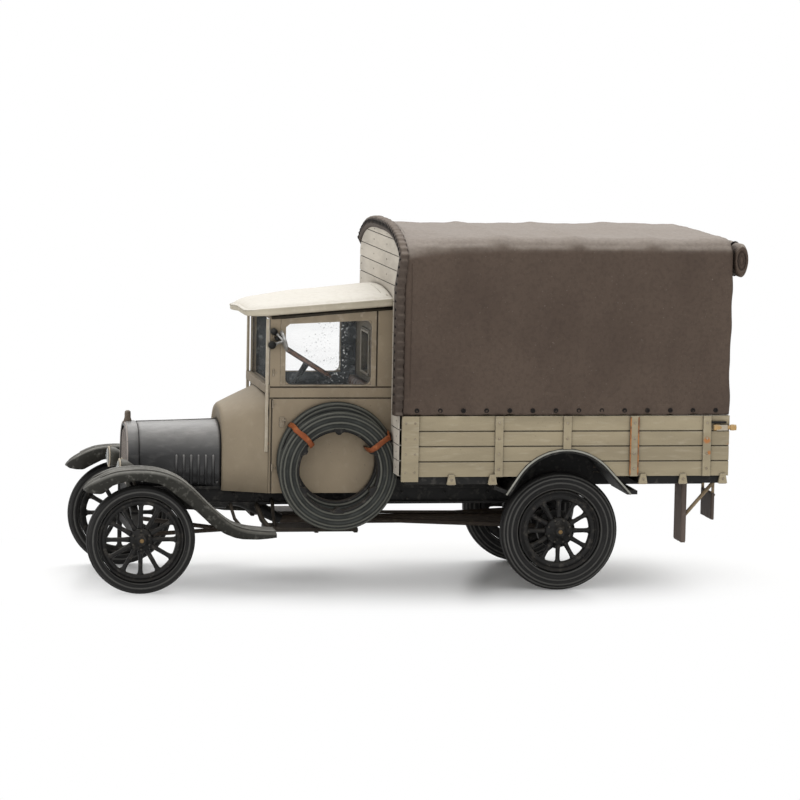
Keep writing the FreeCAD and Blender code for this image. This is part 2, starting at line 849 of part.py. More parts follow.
def build_running_gear():
    """Axles, cross springs, torque tube and the rods that stay the axles."""
    build_front_axle()
    build_rear_axle()
    leaf_spring("front_spring", s.front_axle_x, s.front_tyre_radius + s.axle_beam_height / 2)
    leaf_spring("rear_spring", rear_axle_x, s.rear_tyre_radius + s.axle_tube_radius)
    z = s.rear_tyre_radius
    tube = rod("torque_tube", (rear_axle_x + s.differential_radius + s.seat_gap, 0, z),
               (s.gearbox_rear_x - s.seat_gap, 0, z), s.torque_tube_radius, sides=ROUND_SIDES)
    node(tube, "torque_tube")
    radius = s.stay_rod_radius
    front_x = s.front_axle_x - s.axle_beam_width / 2 - radius
    rear_x = rear_axle_x + s.axle_tube_radius + radius / 2
    beside_tube = s.torque_tube_radius + TUBE_CLEARANCE * radius
    under_pan = pan_z - s.pan_radius - PAN_CLEARANCE * radius
    rods = []
    for side in (1, -1):
        rods.append(rod("front_rod_%d" % side, (front_x, s.spring_reach * side, s.front_tyre_radius),
                        (front_x - s.front_rod_reach, 2 * radius * side, under_pan), radius, sides=BAR_SIDES))
        rods.append(rod("rear_rod_%d" % side, (rear_x, s.spring_reach * side, z),
                        (rear_x + s.rear_rod_reach, beside_tube * side, z), radius, sides=BAR_SIDES))
    group("radius_rods", rods)


def build_engine():
    """The engine as one plain block with its pan, flywheel case and gearbox."""
    front = s.engine_front_x
    width = s.engine_half_width
    gearbox_front = s.gearbox_rear_x + s.gearbox_length
    case_rear = gearbox_front - s.flywheel_width / 4
    upper = block("cylinders", (front - s.engine_length, -width, pan_z), (front, width, s.engine_top_z))
    pan = rod("pan", (case_rear, 0, pan_z), (front - s.rail_width, 0, pan_z), s.pan_radius,
              sides=ROUND_SIDES)
    case = rod("flywheel_case", (case_rear, 0, pan_z), (case_rear + s.flywheel_width, 0, pan_z),
               s.flywheel_radius, sides=ROUND_SIDES)
    gearbox = block("gearbox", (s.gearbox_rear_x, -s.gearbox_half_width, s.gearbox_bottom_z),
                    (gearbox_front, s.gearbox_half_width, s.gearbox_bottom_z + s.gearbox_height))
    fuse("engine_block", [upper, pan, case, gearbox])


def build_radiator():
    """The radiator shell with its finned core, and the filler cap on its crown."""
    body = new_body("radiator")
    front = s.radiator_front_x
    shell = arch(s.radiator_half_width, s.radiator_bottom_z, s.radiator_shoulder_z, s.radiator_crown)
    pad(body, "YZ", shell, radiator_rear_x, s.radiator_depth, name="shell")
    at_front = float(front) - float(s.seat_gap)
    break_edges(body, lambda edge: all(v.X > at_front for v in edge.Vertexes), s.radiator_edge)
    wall = s.radiator_wall
    core_half = s.radiator_half_width - wall - s.radiator_edge / 2
    core_bottom = s.radiator_bottom_z + wall
    core_top = s.radiator_shoulder_z - wall
    pocket(body, "YZ", arch(core_half, core_bottom, core_top, s.radiator_crown),
           front - s.core_recess, s.core_recess, name="core")
    pitch = 2 * core_half / FINS
    fins = []
    for index in range(FINS):
        middle = pitch * (index - (FINS - 1) / 2)
        fins.append(rectangle(middle - s.fin_width / 2, core_bottom, middle + s.fin_width / 2, core_top))
    pad(body, "YZ", several(fins), front - s.core_recess, s.core_recess / 2, name="fins")
    x = front - s.radiator_depth / 2
    top = s.radiator_shoulder_z + s.radiator_crown
    foot = top + s.cap_height * CAP_FOOT[1]
    fuse("filler_cap", [
        rod("cap_foot", (x, 0, top), (x, 0, foot), s.cap_radius * CAP_FOOT[0], sides=ROUND_SIDES),
        rod("cap_stem", (x, 0, top), (x, 0, top + s.cap_height), s.cap_radius, sides=ROUND_SIDES)])


def build_bonnet():
    """The tapered bonnet with its row of louvres on each side."""
    body = new_body("bonnet")
    wall = s.bonnet_wall
    bottom = s.frame_top_z
    rear = (s.bonnet_rear_half_width, s.bonnet_rear_shoulder_z, s.bonnet_rear_crown)
    front = (s.radiator_half_width, s.radiator_shoulder_z, s.radiator_crown)
    skins = [arch(half, bottom, spring, crown) for half, spring, crown in (rear, front)]
    hollows = [tunnel(half - wall, bottom - wall, spring - wall, crown)
               for half, spring, crown in (rear, front)]
    loft(body, "YZ", (skins[0], s.cowl_front_x), (skins[1], radiator_rear_x), name="skin")
    loft(body, "YZ", (hollows[0], s.cowl_front_x - s.seat_gap), (hollows[1], radiator_rear_x + s.seat_gap),
         name="hollow", cutting=True)
    rise = s.louvre_height / 2
    for index in range(LOUVRES):
        x = s.louvre_first_x + s.louvre_pitch * index
        outline = rectangle(x - s.louvre_width / 2, s.louvre_middle_z - rise,
                            x + s.louvre_width / 2, s.louvre_middle_z + rise)
        skin = bonnet_half_width(x)
        length = wall / 2 + s.louvre_proud
        for name, low in (("left", skin - wall / 2), ("right", -skin - s.louvre_proud)):
            pad(body, "XZ", outline, low, length, name="louvre_%s_%d" % (name, index))


def build_cowl():
    """The scuttle that flares from the bonnet to the cab, with a bead up each door pillar."""
    body = new_body("cowl")
    wall = s.cowl_wall
    bottom = s.body_bottom_z
    rear = arch(s.cab_half_width, bottom, s.cowl_rear_shoulder_z, s.cowl_rear_crown)
    front = arch(s.cowl_front_half_width, bottom, s.cowl_front_shoulder_z, s.cowl_front_crown)
    loft(body, "YZ", (rear, s.cab_front_x), (front, s.cowl_front_x), name="skin")
    wall_x = s.cowl_front_x - wall
    rear = tunnel(s.cab_half_width - wall, bottom - wall, s.cowl_rear_shoulder_z - wall)
    front = tunnel(cowl_half_width(wall_x) - wall, bottom - wall, s.cowl_front_shoulder_z - wall)
    loft(body, "YZ", (rear, s.cab_front_x - s.seat_gap), (front, wall_x), name="hollow", cutting=True)
    rail_gap = s.rail_outer_y + s.seat_gap
    pocket(body, "YZ", rectangle(-rail_gap, bottom - wall, rail_gap, s.frame_top_z),
           s.cowl_front_x - 2 * wall, 3 * wall, name="rail_notch")
    outline = rectangle(s.cab_front_x + s.seat_gap, s.pillar_bead_foot_z,
                        s.cab_front_x + s.pillar_bead, screen_base_z)
    depth = s.pillar_bead + s.pillar_bead_proud
    for name, low in (("left_bead", s.cab_half_width - s.pillar_bead),
                      ("right_bead", -s.cab_half_width - s.pillar_bead_proud)):
        pad(body, "XZ", outline, low, depth, name=name)


def cab_side(name, side, window_rear_x):
    """A cab side with its window, belt lines and door line."""
    body = new_body("cab_side_" + name)
    low = cab_inner_y if side > 0 else -s.cab_half_width
    face = s.cab_half_width - s.groove_depth if side > 0 else -s.cab_half_width
    panel = [(s.cab_rear_x, s.body_bottom_z), (s.cab_front_x, s.body_bottom_z),
             (s.cab_front_x, roof_underside(s.cab_front_x)), (s.cab_rear_x, roof_underside(s.cab_rear_x))]
    pad(body, "XZ", panel, low, s.cab_wall, name="panel")
    pocket(body, "XZ", rounded_rectangle(window_rear_x, s.window_sill_z, s.window_front_x,
                                         s.window_sill_z + s.window_height, s.window_corner),
           low, s.cab_wall, name="window")
    half = s.groove_width / 2
    level = [rectangle(s.cab_rear_x, z - half, s.cab_front_x, z + half)
             for z in (s.sill_line_z, s.belt_line_z)]
    pocket(body, "XZ", several(level), face, s.groove_depth, name="belt_lines")
    upright = [rectangle(s.door_line_x - half, s.body_bottom_z, s.door_line_x + half, s.belt_line_z),
               rectangle(s.quarter_line_x - half, s.sill_line_z, s.quarter_line_x + half,
                         roof_underside(s.quarter_line_x) - s.roof_edge / 2)]
    pocket(body, "XZ", several(upright), face, s.groove_depth, name="door_lines")


def build_cab_floor():
    """The cab floor, which lies on the frame rails and runs on into the cowl as far as its front wall."""
    body = new_body("cab_floor")
    front_x = s.cowl_front_x - s.cowl_wall - s.seat_gap
    inset = s.cowl_wall + s.seat_gap
    corners = [(cab_inner_x, cab_inner_y), (s.cab_front_x, cab_inner_y),
               (front_x, cowl_half_width(front_x) - inset)]
    mirrored = [(x, -y) for x, y in reversed(corners)]
    pad(body, "XY", corners + mirrored, s.frame_top_z, s.cab_floor_thickness, name="boards")


def build_cab_walls():
    """The cab sides, the rear wall with its framed window, and the windscreen frame."""
    cab_side("left", 1, s.near_window_rear_x)
    cab_side("right", -1, s.far_window_rear_x)
    wall = new_body("cab_rear_wall")
    panel = [(s.cab_rear_x, s.frame_top_z), (cab_inner_x, s.frame_top_z),
             (cab_inner_x, roof_underside(cab_inner_x)), (s.cab_rear_x, roof_underside(s.cab_rear_x))]
    pad(wall, "XZ", panel, -cab_inner_y, 2 * cab_inner_y, name="panel")
    half, low, rim = s.rear_window_half_width, s.rear_window_sill_z, s.rear_window_frame
    high = low + s.rear_window_height
    surround = rectangle(-half - rim, low - rim, half + rim, high + rim)
    pad(wall, "YZ", surround, cab_inner_x, rim / 2, name="surround")
    depth = s.rear_wall + rim / 2
    pocket(wall, "YZ", rectangle(-half, low, half, high), s.cab_rear_x, depth, name="window")
    screen = new_body("windscreen_frame")
    face_x = s.cab_front_x - s.seat_gap
    bar_top = screen_base_z + s.screen_bar_height
    head_z = roof_underside(face_x) - s.seat_gap
    frame_half = cab_inner_y - s.seat_gap
    pad(screen, "YZ", rectangle(-frame_half, s.cowl_rear_shoulder_z, frame_half, head_z),
        face_x - s.screen_frame_depth, s.screen_frame_depth, name="frame")
    pad(screen, "YZ", rectangle(-s.cab_half_width, screen_base_z, s.cab_half_width, bar_top), face_x,
        s.screen_bar_depth, name="base_bar")
    pocket(screen, "YZ", rectangle(-frame_half + s.screen_frame_width, bar_top,
                                   frame_half - s.screen_frame_width, head_z - s.screen_frame_width),
           face_x - s.screen_frame_depth, s.screen_frame_depth, name="opening")


def build_cab_glass():
    """Clear panes in the two side windows, the rear window and the windscreen."""
    gap = s.seat_gap
    panes = []
    top = s.window_sill_z + s.window_height - gap
    depth = (s.cab_wall - s.glass_thickness) / 2
    for name, low, rear_x in (("near", cab_inner_y + depth, s.near_window_rear_x),
                              ("far", -s.cab_half_width + depth, s.far_window_rear_x)):
        pane = bare_body(name + "_pane")
        pad(pane, "XZ", rounded_rectangle(rear_x + gap, s.window_sill_z + gap, s.window_front_x - gap, top,
                                          s.window_corner - gap), low, s.glass_thickness)
        panes.append(pane)
    rear_x = s.cab_rear_x + s.rear_wall / 2
    half = s.rear_window_half_width - gap
    panes.append(block("rear_pane", (rear_x, -half, s.rear_window_sill_z + gap),
                       (rear_x + s.glass_thickness, half, s.rear_window_sill_z + s.rear_window_height - gap)))
    screen_x = s.cab_front_x - s.screen_frame_depth / 2
    half = cab_inner_y - s.screen_frame_width - 2 * gap
    head_z = roof_underside(s.cab_front_x + gap) - 2 * gap - s.screen_frame_width
    panes.append(block("screen_pane", (screen_x, -half, screen_base_z + s.screen_bar_height + gap),
                       (screen_x + s.glass_thickness, half, head_z)))
    group("cab_glass", panes)


def build_roof():
    """The cab roof: a crowned slab that thins to a rounded nose over the windscreen."""
    body = new_body("cab_roof")
    edge = s.roof_edge - s.roof_round
    nose_x = s.roof_front_x - s.roof_nose
    share = s.roof_nose / (s.roof_front_x - s.roof_rear_x)
    low = roof_underside(nose_x)
    crown = s.roof_front_crown + (s.roof_rear_crown - s.roof_front_crown) * share
    nose = arch(s.roof_half_width, low, low + edge, crown, s.roof_round)
    loft(body, "YZ",
         (arch(s.roof_half_width, s.roof_rear_z, s.roof_rear_z + edge, s.roof_rear_crown, s.roof_round),
          s.roof_rear_x), (nose, nose_x), name="slab")
    loft(body, "YZ", (nose, nose_x),
         (arch(s.roof_half_width - s.roof_round, s.roof_front_z, s.roof_front_z + edge / 2,
               s.roof_front_crown, s.roof_round), s.roof_front_x), name="nose")


def build_seat_and_steering():
    """The bench seat and the steering wheel on its raked column."""
    rear = cab_inner_x + s.seat_gap_behind
    half = cab_inner_y - s.seat_side_gap
    seat_top = cab_floor_z + s.seat_height
    back_top = seat_top + s.seat_height
    fuse("seat_bench", [
        block("cushion", (rear, -half, cab_floor_z), (rear + s.seat_depth, half, seat_top)),
        block("backrest", (rear, -half, cab_floor_z), (rear + s.seat_back_depth, half, back_top))])
    radius, rim = s.steering_radius, s.steering_rim_radius
    x, y, z = s.steering_x, s.steering_y, s.steering_z
    ring = bare_body("steering_rim")
    outlines = [round_outline(0, 0, edge, sides=RING_SIDES) for edge in (radius + rim, radius - rim)]
    pad(ring, "XY", several(outlines), -rim, 2 * rim, name="ring")
    ring.Placement = Placement(Vector(0, 0, 0), Rotation(Vector(0, 1, 0), -math.degrees(STEERING_TILT)))
    move(ring, x, y, z)
    run = radius * math.cos(STEERING_TILT)
    rise = radius * math.sin(STEERING_TILT)
    foot_z = cab_floor_z + s.column_radius
    foot_x = x + (z - foot_z) * math.tan(STEERING_TILT)
    bar = rim * SPOKE_BAR
    bars = [rod("long_bar", (x - run, y, z - rise), (x + run, y, z + rise), bar, sides=BAR_SIDES),
            rod("cross_bar", (x, y - radius, z), (x, y + radius, z), bar, sides=BAR_SIDES),
            rod("column", (x, y, z), (foot_x, y, foot_z), s.column_radius, sides=BAR_SIDES)]
    fuse("steering_column", [ring] + bars)


def build_headlamps():
    """The two headlamps beside the radiator, each a rimmed bowl on its post."""
    lens = s.lamp_lens_x
    rear = lens - s.lamp_depth
    half = s.lamp_post / 2
    for name, side in (("left", 1), ("right", -1)):
        y = s.lamp_y * side
        bowl = bare_body("bowl_" + name)
        rim_x = lens - s.lamp_rim
        pad(bowl, "YZ", round_outline(y, s.lamp_z, s.lamp_radius), rim_x, s.lamp_rim, name="rim")
        wide, narrow = [round_outline(y, s.lamp_z, s.lamp_radius * share) for share in BOWL_SHARES]
        loft(bowl, "YZ", (wide, rim_x), (narrow, rear), name="bowl")
        post = block("lamp_post_" + name, (lamp_post_x - half, y - half, s.frame_top_z),
                     (lamp_post_x + half, y + half, s.lamp_z))
        fuse("headlamp_" + name, [bowl, post])


def build_mirror():
    """The round mirror that leans out from the driver's pillar on two knobs."""
    face_y = s.cab_half_width + s.seat_gap
    lean_x = s.mirror_thickness / 2 * math.cos(MIRROR_LEAN)
    lean_z = s.mirror_thickness / 2 * math.sin(MIRROR_LEAN)
    x, y, z = s.mirror_x, s.cab_half_width + s.mirror_out, s.mirror_z
    pieces = [rod("glass_plate", (x - lean_x, y, z + lean_z), (x + lean_x, y, z - lean_z), s.mirror_radius,
                  sides=ROUND_SIDES)]
    reach = face_y + s.mirror_knob_length
    for name, knob_z in (("low", s.mirror_knob_low_z), ("high", s.mirror_knob_high_z)):
        knob_x = s.mirror_knob_x
        pieces.append(rod("knob_" + name, (knob_x, face_y, knob_z), (knob_x, reach, knob_z),
                          s.mirror_knob_radius, sides=BAR_SIDES))
        pieces.append(rod("arm_" + name, (knob_x, reach - s.mirror_knob_radius, knob_z), (x, y, z),
                          s.mirror_knob_radius / 2, sides=BAR_SIDES))
    fuse("side_mirror", pieces)


def mudguard_line(inset, swept=True):
    """Front mudguard line: an arc over the wheel, then a reverse arc down to the running board."""
    x, z = s.front_axle_x + s.mudguard_ahead, s.mudguard_centre_z
    sweep_x = s.front_axle_x - s.sweep_back
    sweep_z = board_bottom_z - s.seat_gap + s.sweep_radius
    run, rise = float(sweep_x - x), float(sweep_z - z)
    lean = math.acos(float(s.mudguard_radius + s.sweep_radius) / math.hypot(run, rise))
    tangent = math.atan2(rise, run) - lean
    arc = [between(MUDGUARD_TIP, tangent, step / CROWN_CHORDS) for step in range(CROWN_CHORDS + 1)]
    radius = s.mudguard_radius - inset
    line = [(x + radius * math.cos(angle), z + radius * math.sin(angle)) for angle in arc]
    chords = 2 * CORNER_CHORDS if swept else CORNER_CHORDS
    stop = 1.5 * math.pi if swept else between(tangent + math.pi, 1.5 * math.pi, 0.4)
    radius = s.sweep_radius + inset
    for step in range(chords + 1):
        angle = between(tangent + math.pi, stop, step / chords)
        line.append((sweep_x + radius * math.cos(angle), sweep_z + radius * math.sin(angle)))
    return line


def build_front_mudguards():
    """The front mudguards: a crowned ribbon with a skirt outside, a valance inside and two stays."""
    inner, outer = mudguard_inner_y, mudguard_outer_y
    edge, step, thickness = s.mudguard_edge_width, s.mudguard_step, s.mudguard_thickness
    rail = s.rail_outer_y + s.seat_gap
    valance_z = s.mudguard_centre_z + s.mudguard_radius - s.valance_depth + s.stay_height
    strips = (("ribbon", inner, outer, 0 * step, thickness, True),
              ("crown", inner + 2 * edge, outer - 2 * edge, -step, thickness, True),
              ("skirt", outer - edge, outer, thickness / 2, s.mudguard_skirt, True),
              ("valance", inner, inner + s.valance_thickness, thickness / 2, s.valance_depth, False))
    front_stay_x = lamp_post_x - s.stay_width / 2
    for name, side in (("left", 1), ("right", -1)):
        body = new_body("front_mudguard_" + name)
        for strip, low, high, over, under, swept in strips:
            start = low if side > 0 else -high
            outline = mudguard_line(over, swept) + list(reversed(mudguard_line(under, swept)))
            pad(body, "XZ", outline, start, high - low, name=strip)
        hook_y, hook_z = inner + s.valance_thickness, s.frame_top_z - s.stay_height
        arm = [(rail, hook_z), (hook_y, hook_z), (hook_y, valance_z), (inner, valance_z),
               (inner, s.frame_top_z), (rail, s.frame_top_z)]
        iron_y, iron_z = inner + s.stay_height, s.board_top_z - s.stay_height
        iron = [(rail, frame_bottom_z), (inner, frame_bottom_z - 2 * s.stay_height), (inner, iron_z),
                (iron_y, iron_z), (iron_y, frame_bottom_z - s.stay_height),
                (rail, frame_bottom_z + s.stay_height)]
        for stay, outline, x in (("front_stay", arm, front_stay_x), ("rear_stay", iron, s.rear_stay_x)):
            pad(body, "YZ", [(y * side, z) for y, z in outline], x, s.stay_width, name=stay)


def build_running_boards():
    """The running boards on their brackets, outside the frame rails."""
    inner = s.rail_outer_y
    post = inner + s.board_post
    foot_z = board_bottom_z - s.stay_height
    for name, side in (("left", 1), ("right", -1)):
        spans = {"board": (post, s.board_outer_y), "arm": (inner, s.board_outer_y), "post": (inner, post)}
        if side < 0:
            spans = {key: (-high, -low) for key, (low, high) in spans.items()}
        low, high = spans["board"]
        pieces = [block("board_" + name, (s.board_rear_x, low, board_bottom_z),
                        (s.board_front_x, high, s.board_top_z))]
        for index, x in enumerate((s.board_rear_x + 2 * s.stay_width, s.board_front_x - 3 * s.stay_width)):
            for key, top in (("arm", board_bottom_z), ("post", s.frame_top_z - s.rail_web)):
                low, high = spans[key]
                pieces.append(block("%s_%s_%d" % (key, name, index), (x, low, foot_z),
                                    (x + s.stay_width, high, top)))
        fuse("running_board_" + name, pieces)


def build_spares():
    """Two spare tyres stacked on the left cab side, the outer one lower, held by two straps."""
    first_y = s.cab_half_width + s.seat_gap + s.spare_thickness / 2
    second_y = first_y + s.spare_thickness + s.seat_gap
    low_z = s.spare_inner_z - s.spare_drop
    section = (s.spare_radius, s.spare_hole_radius, s.spare_thickness)
    tyre("spare_tyre_inner", (s.spare_x, first_y, s.spare_inner_z), *section, flat_back=True)
    outer = tyre("spare_tyre_outer", (s.spare_x, second_y, low_z), *section, flat_back=True)
    bead = s.spare_thickness * TYRE_BEAD
    outline = rectangle(-s.spare_lug, s.spare_hole_radius - s.spare_lug,
                        s.spare_lug, s.spare_hole_radius + s.spare_lug)
    lug = pad(outer, "XZ", outline, -bead / 2, bead, name="lug")
    polar_copies(outer, lug, "N_Axis", SPARE_LUGS, name="lugs")
    half = s.strap_width / 2
    face_y = second_y + s.spare_thickness / 2 + s.seat_gap
    wall_y = s.cab_half_width + s.seat_gap
    straps = []
    for index, angle in enumerate(STRAP_ANGLES):
        across, up = math.cos(angle), math.sin(angle)
        strap = bare_body("strap_%d" % index)
        inner, outer = s.strap_inner_radius, s.strap_outer_radius
        spans = (("face", inner, outer, face_y, s.strap_thickness),
                 ("inner_arm", inner, inner + s.strap_thickness, wall_y, face_y - wall_y),
                 ("outer_arm", outer - s.strap_thickness, outer, wall_y, face_y - wall_y))
        for name, low, high, start, length in spans:
            corners = [(s.spare_x + reach * across - shift * up, low_z + reach * up + shift * across)
                       for reach, shift in ((low, -half), (high, -half), (high, half), (low, half))]
            pad(strap, "XZ", corners, start, length, name=name)
        straps.append(strap)
    group("spare_straps", straps)


def arch_line(offset):
    """Rear mudguard line from its front end to its rear end: an arc with straight flared ends."""
    x, z = rear_axle_x, s.rear_arch_z
    radius = s.rear_arch_radius + offset
    angles = [between(ARCH_FRONT, ARCH_REAR, step / CROWN_CHORDS) for step in range(CROWN_CHORDS + 1)]
    line = [(x + radius * math.cos(angle), z + radius * math.sin(angle)) for angle in angles]
    first, last = line[0], line[-1]
    front = (first[0] + (first[1] - s.rear_arch_end_z) * math.tan(ARCH_FRONT), s.rear_arch_end_z)
    rear = (last[0] - (last[1] - s.rear_arch_end_z) * math.tan(math.pi - ARCH_REAR), s.rear_arch_end_z)
    return [front] + line + [rear]


def build_rear_mudguards():
    """The rear mudguards: arches through the bed floor with an inner wall, a lip and curled ends."""
    inner, outer, thickness = s.rear_arch_inner_y, s.bed_half_width, s.rear_arch_thickness
    ring = arch_line(0 * thickness) + list(reversed(arch_line(-thickness)))
    lip = arch_line(-thickness / 3) + list(reversed(arch_line(-thickness)))
    full = arch_line(-thickness / 2)
    wall_z = s.rear_arch_wall_z
    wall = [point for point in full if float(point[1]) > float(wall_z)]
    wall = [(wall[0][0], wall_z)] + wall + [(wall[-1][0], wall_z)]
    front_x, end_z = arch_line(0 * thickness)[0]
    rear_x = arch_line(0 * thickness)[-1][0]
    curl = s.arch_curl
    front_curl = [(front_x - thickness, end_z), (front_x + curl, end_z + curl / 2),
                  (front_x + curl, end_z + curl / 2 + thickness), (front_x - thickness, end_z + thickness)]
    rear_curl = rectangle(rear_x - curl / 2, end_z, rear_x + thickness, end_z + thickness)
    for name, side in (("left", 1), ("right", -1)):
        body = new_body("rear_mudguard_" + name)
        strips = (("arch", ring, inner, outer), ("wall", wall, inner, inner + s.rear_arch_wall),
                  ("lip", lip, outer, outer + s.arch_lip), ("front_curl", front_curl, inner, outer),
                  ("rear_curl", rear_curl, inner, outer))
        for strip, outline, low, high in strips:
            pad(body, "XZ", outline, low if side > 0 else -high, high - low, name=strip)


def build_bed_floor():
    """The bed floor, notched for the wheel arches, on its cross bearers and sills."""
    floor = new_body("bed_floor")
    front = s.bed_front_x - s.headboard_thickness - s.seat_gap
    rear = bed_rear_x + s.side_board + s.seat_gap
    pad(floor, "XY", rectangle(rear, -bed_inner_y, front, bed_inner_y), s.bed_bottom_z, s.floor_thickness,
        name="boards")
    notch = arch_line(2 * s.seat_gap)
    low = s.rear_arch_inner_y - s.seat_gap
    width = bed_inner_y - low
    for name, start in (("left_notch", low), ("right_notch", -bed_inner_y)):
        pocket(floor, "XZ", notch, start, width, name=name)
    half = s.bearer_width / 2
    end_y = s.bed_half_width - s.sill_inset
    pieces = []
    for index, x in enumerate(bearer_places()):
        pieces.append(block("bearer_%d" % index, (x - half, -end_y, bearer_bottom_z),
                            (x + half, end_y, s.bed_bottom_z)))
    rear_end = bed_rear_x + s.sill_inset
    front_end = s.bed_front_x - s.sill_inset
    spans = {"rear": (rear_end, bearer_places()[BEARERS_PER_GROUP]),
             "front": (bearer_places()[BEARERS_PER_GROUP - 1], front_end)}
    for side in (1, -1):
        low = rail_inner_y if side > 0 else -s.rail_outer_y
        pieces.append(block("sill_%d" % side, (rear_end, low, s.frame_top_z),
                            (front_end, low + s.rail_width, bearer_bottom_z)))
        low = end_y - s.outer_sill_width if side > 0 else -end_y
        for name, (start, stop) in spans.items():
            pieces.append(block("%s_outer_sill_%d" % (name, side), (start, low, bearer_bottom_z),
                                (stop, low + s.outer_sill_width, s.bed_bottom_z)))
    fuse("bed_bearers", pieces)


def plank_gaps(low_x, high_x):
    """Outlines of the gaps between the planks of a side or the tailgate."""
    pitch = s.side_height / SIDE_PLANKS
    half = s.plank_gap / 2
    levels = [s.bed_bottom_z + pitch * (index + 1) for index in range(SIDE_PLANKS - 1)]
    return several([rectangle(low_x, z - half, high_x, z + half) for z in levels])


def build_bed_sides():
    """The planked bed sides with their battens, bearer tabs and front corner plates."""
    half = s.batten_width / 2
    proud = s.batten_proud
    plate_front = s.bed_front_x + s.corner_plate_lap
    places = [s.bed_front_x - s.bed_length * share for share in BATTEN_PLACES]
    for name, side in (("left", 1), ("right", -1)):
        body = new_body("bed_side_" + name)
        low = bed_inner_y if side > 0 else -s.bed_half_width
        face = s.bed_half_width - s.plank_gap_depth if side > 0 else -s.bed_half_width
        outside = s.bed_half_width - s.plank_gap_depth if side > 0 else -s.bed_half_width - proud
        depth = proud + s.plank_gap_depth
        boards = rectangle(bed_rear_x, s.bed_bottom_z, s.bed_front_x, bed_top_z)
        pad(body, "XZ", boards, low, s.side_board, name="planks")
        gaps = plank_gaps(bed_rear_x, s.bed_front_x)
        pocket(body, "XZ", gaps, face, s.plank_gap_depth, name="plank_gaps")
        battens = [rectangle(x - half, s.bed_bottom_z, x + half, bed_top_z) for x in places]
        battens.append(rectangle(plate_front - s.corner_plate_width, s.bed_bottom_z - s.corner_plate_drop,
                                 plate_front, bed_top_z))
        pad(body, "XZ", several(battens), outside, depth, name="battens")
        tabs = []
        for x in bearer_places()[1:]:
            foot, neck = s.bearer_width * TAB_FOOT, s.bearer_width * TAB_NECK
            tabs.append([(x - foot, bearer_bottom_z), (x + foot, bearer_bottom_z),
                         (x + neck, s.bed_bottom_z + proud), (x - neck, s.bed_bottom_z + proud)])
        pad(body, "XZ", several(tabs), outside, depth, name="tabs")
        notch_y = low if side > 0 else low - proud
        pocket(body, "XZ", arch_line(2 * s.seat_gap), notch_y, s.side_board + proud, name="wheel_arch")


def build_bed_ends():
    """The tall planked headboard under the tilt, the tailgate and its two latch bars."""
    head = new_body("headboard")
    gap = s.seat_gap
    shoulder = s.tilt_shoulder - s.tilt_wall - gap
    outline = arch(bed_inner_y - gap, s.bed_bottom_z, s.tilt_spring_z, s.tilt_crown, shoulder)
    pad(head, "YZ", outline, s.bed_front_x - s.headboard_thickness, s.headboard_thickness, name="planks")
    half = s.plank_gap / 2
    count = int(float(s.tilt_spring_z - bed_floor_z) / float(s.head_plank_pitch))
    seams = [rectangle(-s.bed_half_width, z - half, s.bed_half_width, z + half)
             for z in [s.bed_bottom_z + s.head_plank_pitch * (index + 1) for index in range(count)]]
    seam_x = s.bed_front_x - s.plank_gap_depth
    pocket(head, "YZ", several(seams), seam_x, s.plank_gap_depth, name="plank_gaps")
    gate = new_body("tailgate")
    pad(gate, "YZ", rectangle(-bed_inner_y + gap, s.bed_bottom_z, bed_inner_y - gap, bed_top_z), bed_rear_x,
        s.side_board, name="planks")
    gaps = plank_gaps(-s.bed_half_width, s.bed_half_width)
    pocket(gate, "YZ", gaps, bed_rear_x, s.plank_gap_depth, name="plank_gaps")
    middle = bed_inner_y * GATE_BATTENS
    battens = [rectangle(y - s.batten_width / 2, s.bed_bottom_z, y + s.batten_width / 2, bed_top_z)
               for y in (-middle, middle)]
    pad(gate, "YZ", several(battens), bed_rear_x - s.batten_proud, s.batten_proud + s.plank_gap_depth,
        name="battens")
    rear = bed_rear_x - s.latch_overhang
    front = rear + s.latch_length
    bars = []
    for name, side in (("left", 1), ("right", -1)):
        y = (s.bed_half_width + s.latch_knob_radius + gap) * side
        z = s.latch_z
        pieces = [rod("latch_bar_" + name, (rear, y, z), (front, y, z), s.latch_radius, sides=BAR_SIDES)]
        for end, start in (("rear", rear), ("front", front - s.latch_knob_length)):
            pieces.append(rod("%s_knob_%s" % (end, name), (start, y, z), (start + s.latch_knob_length, y, z),
                              s.latch_knob_radius, sides=ROUND_SIDES))
        bars.append(join("latch_" + name, pieces))
    group("tailgate_latches", bars)


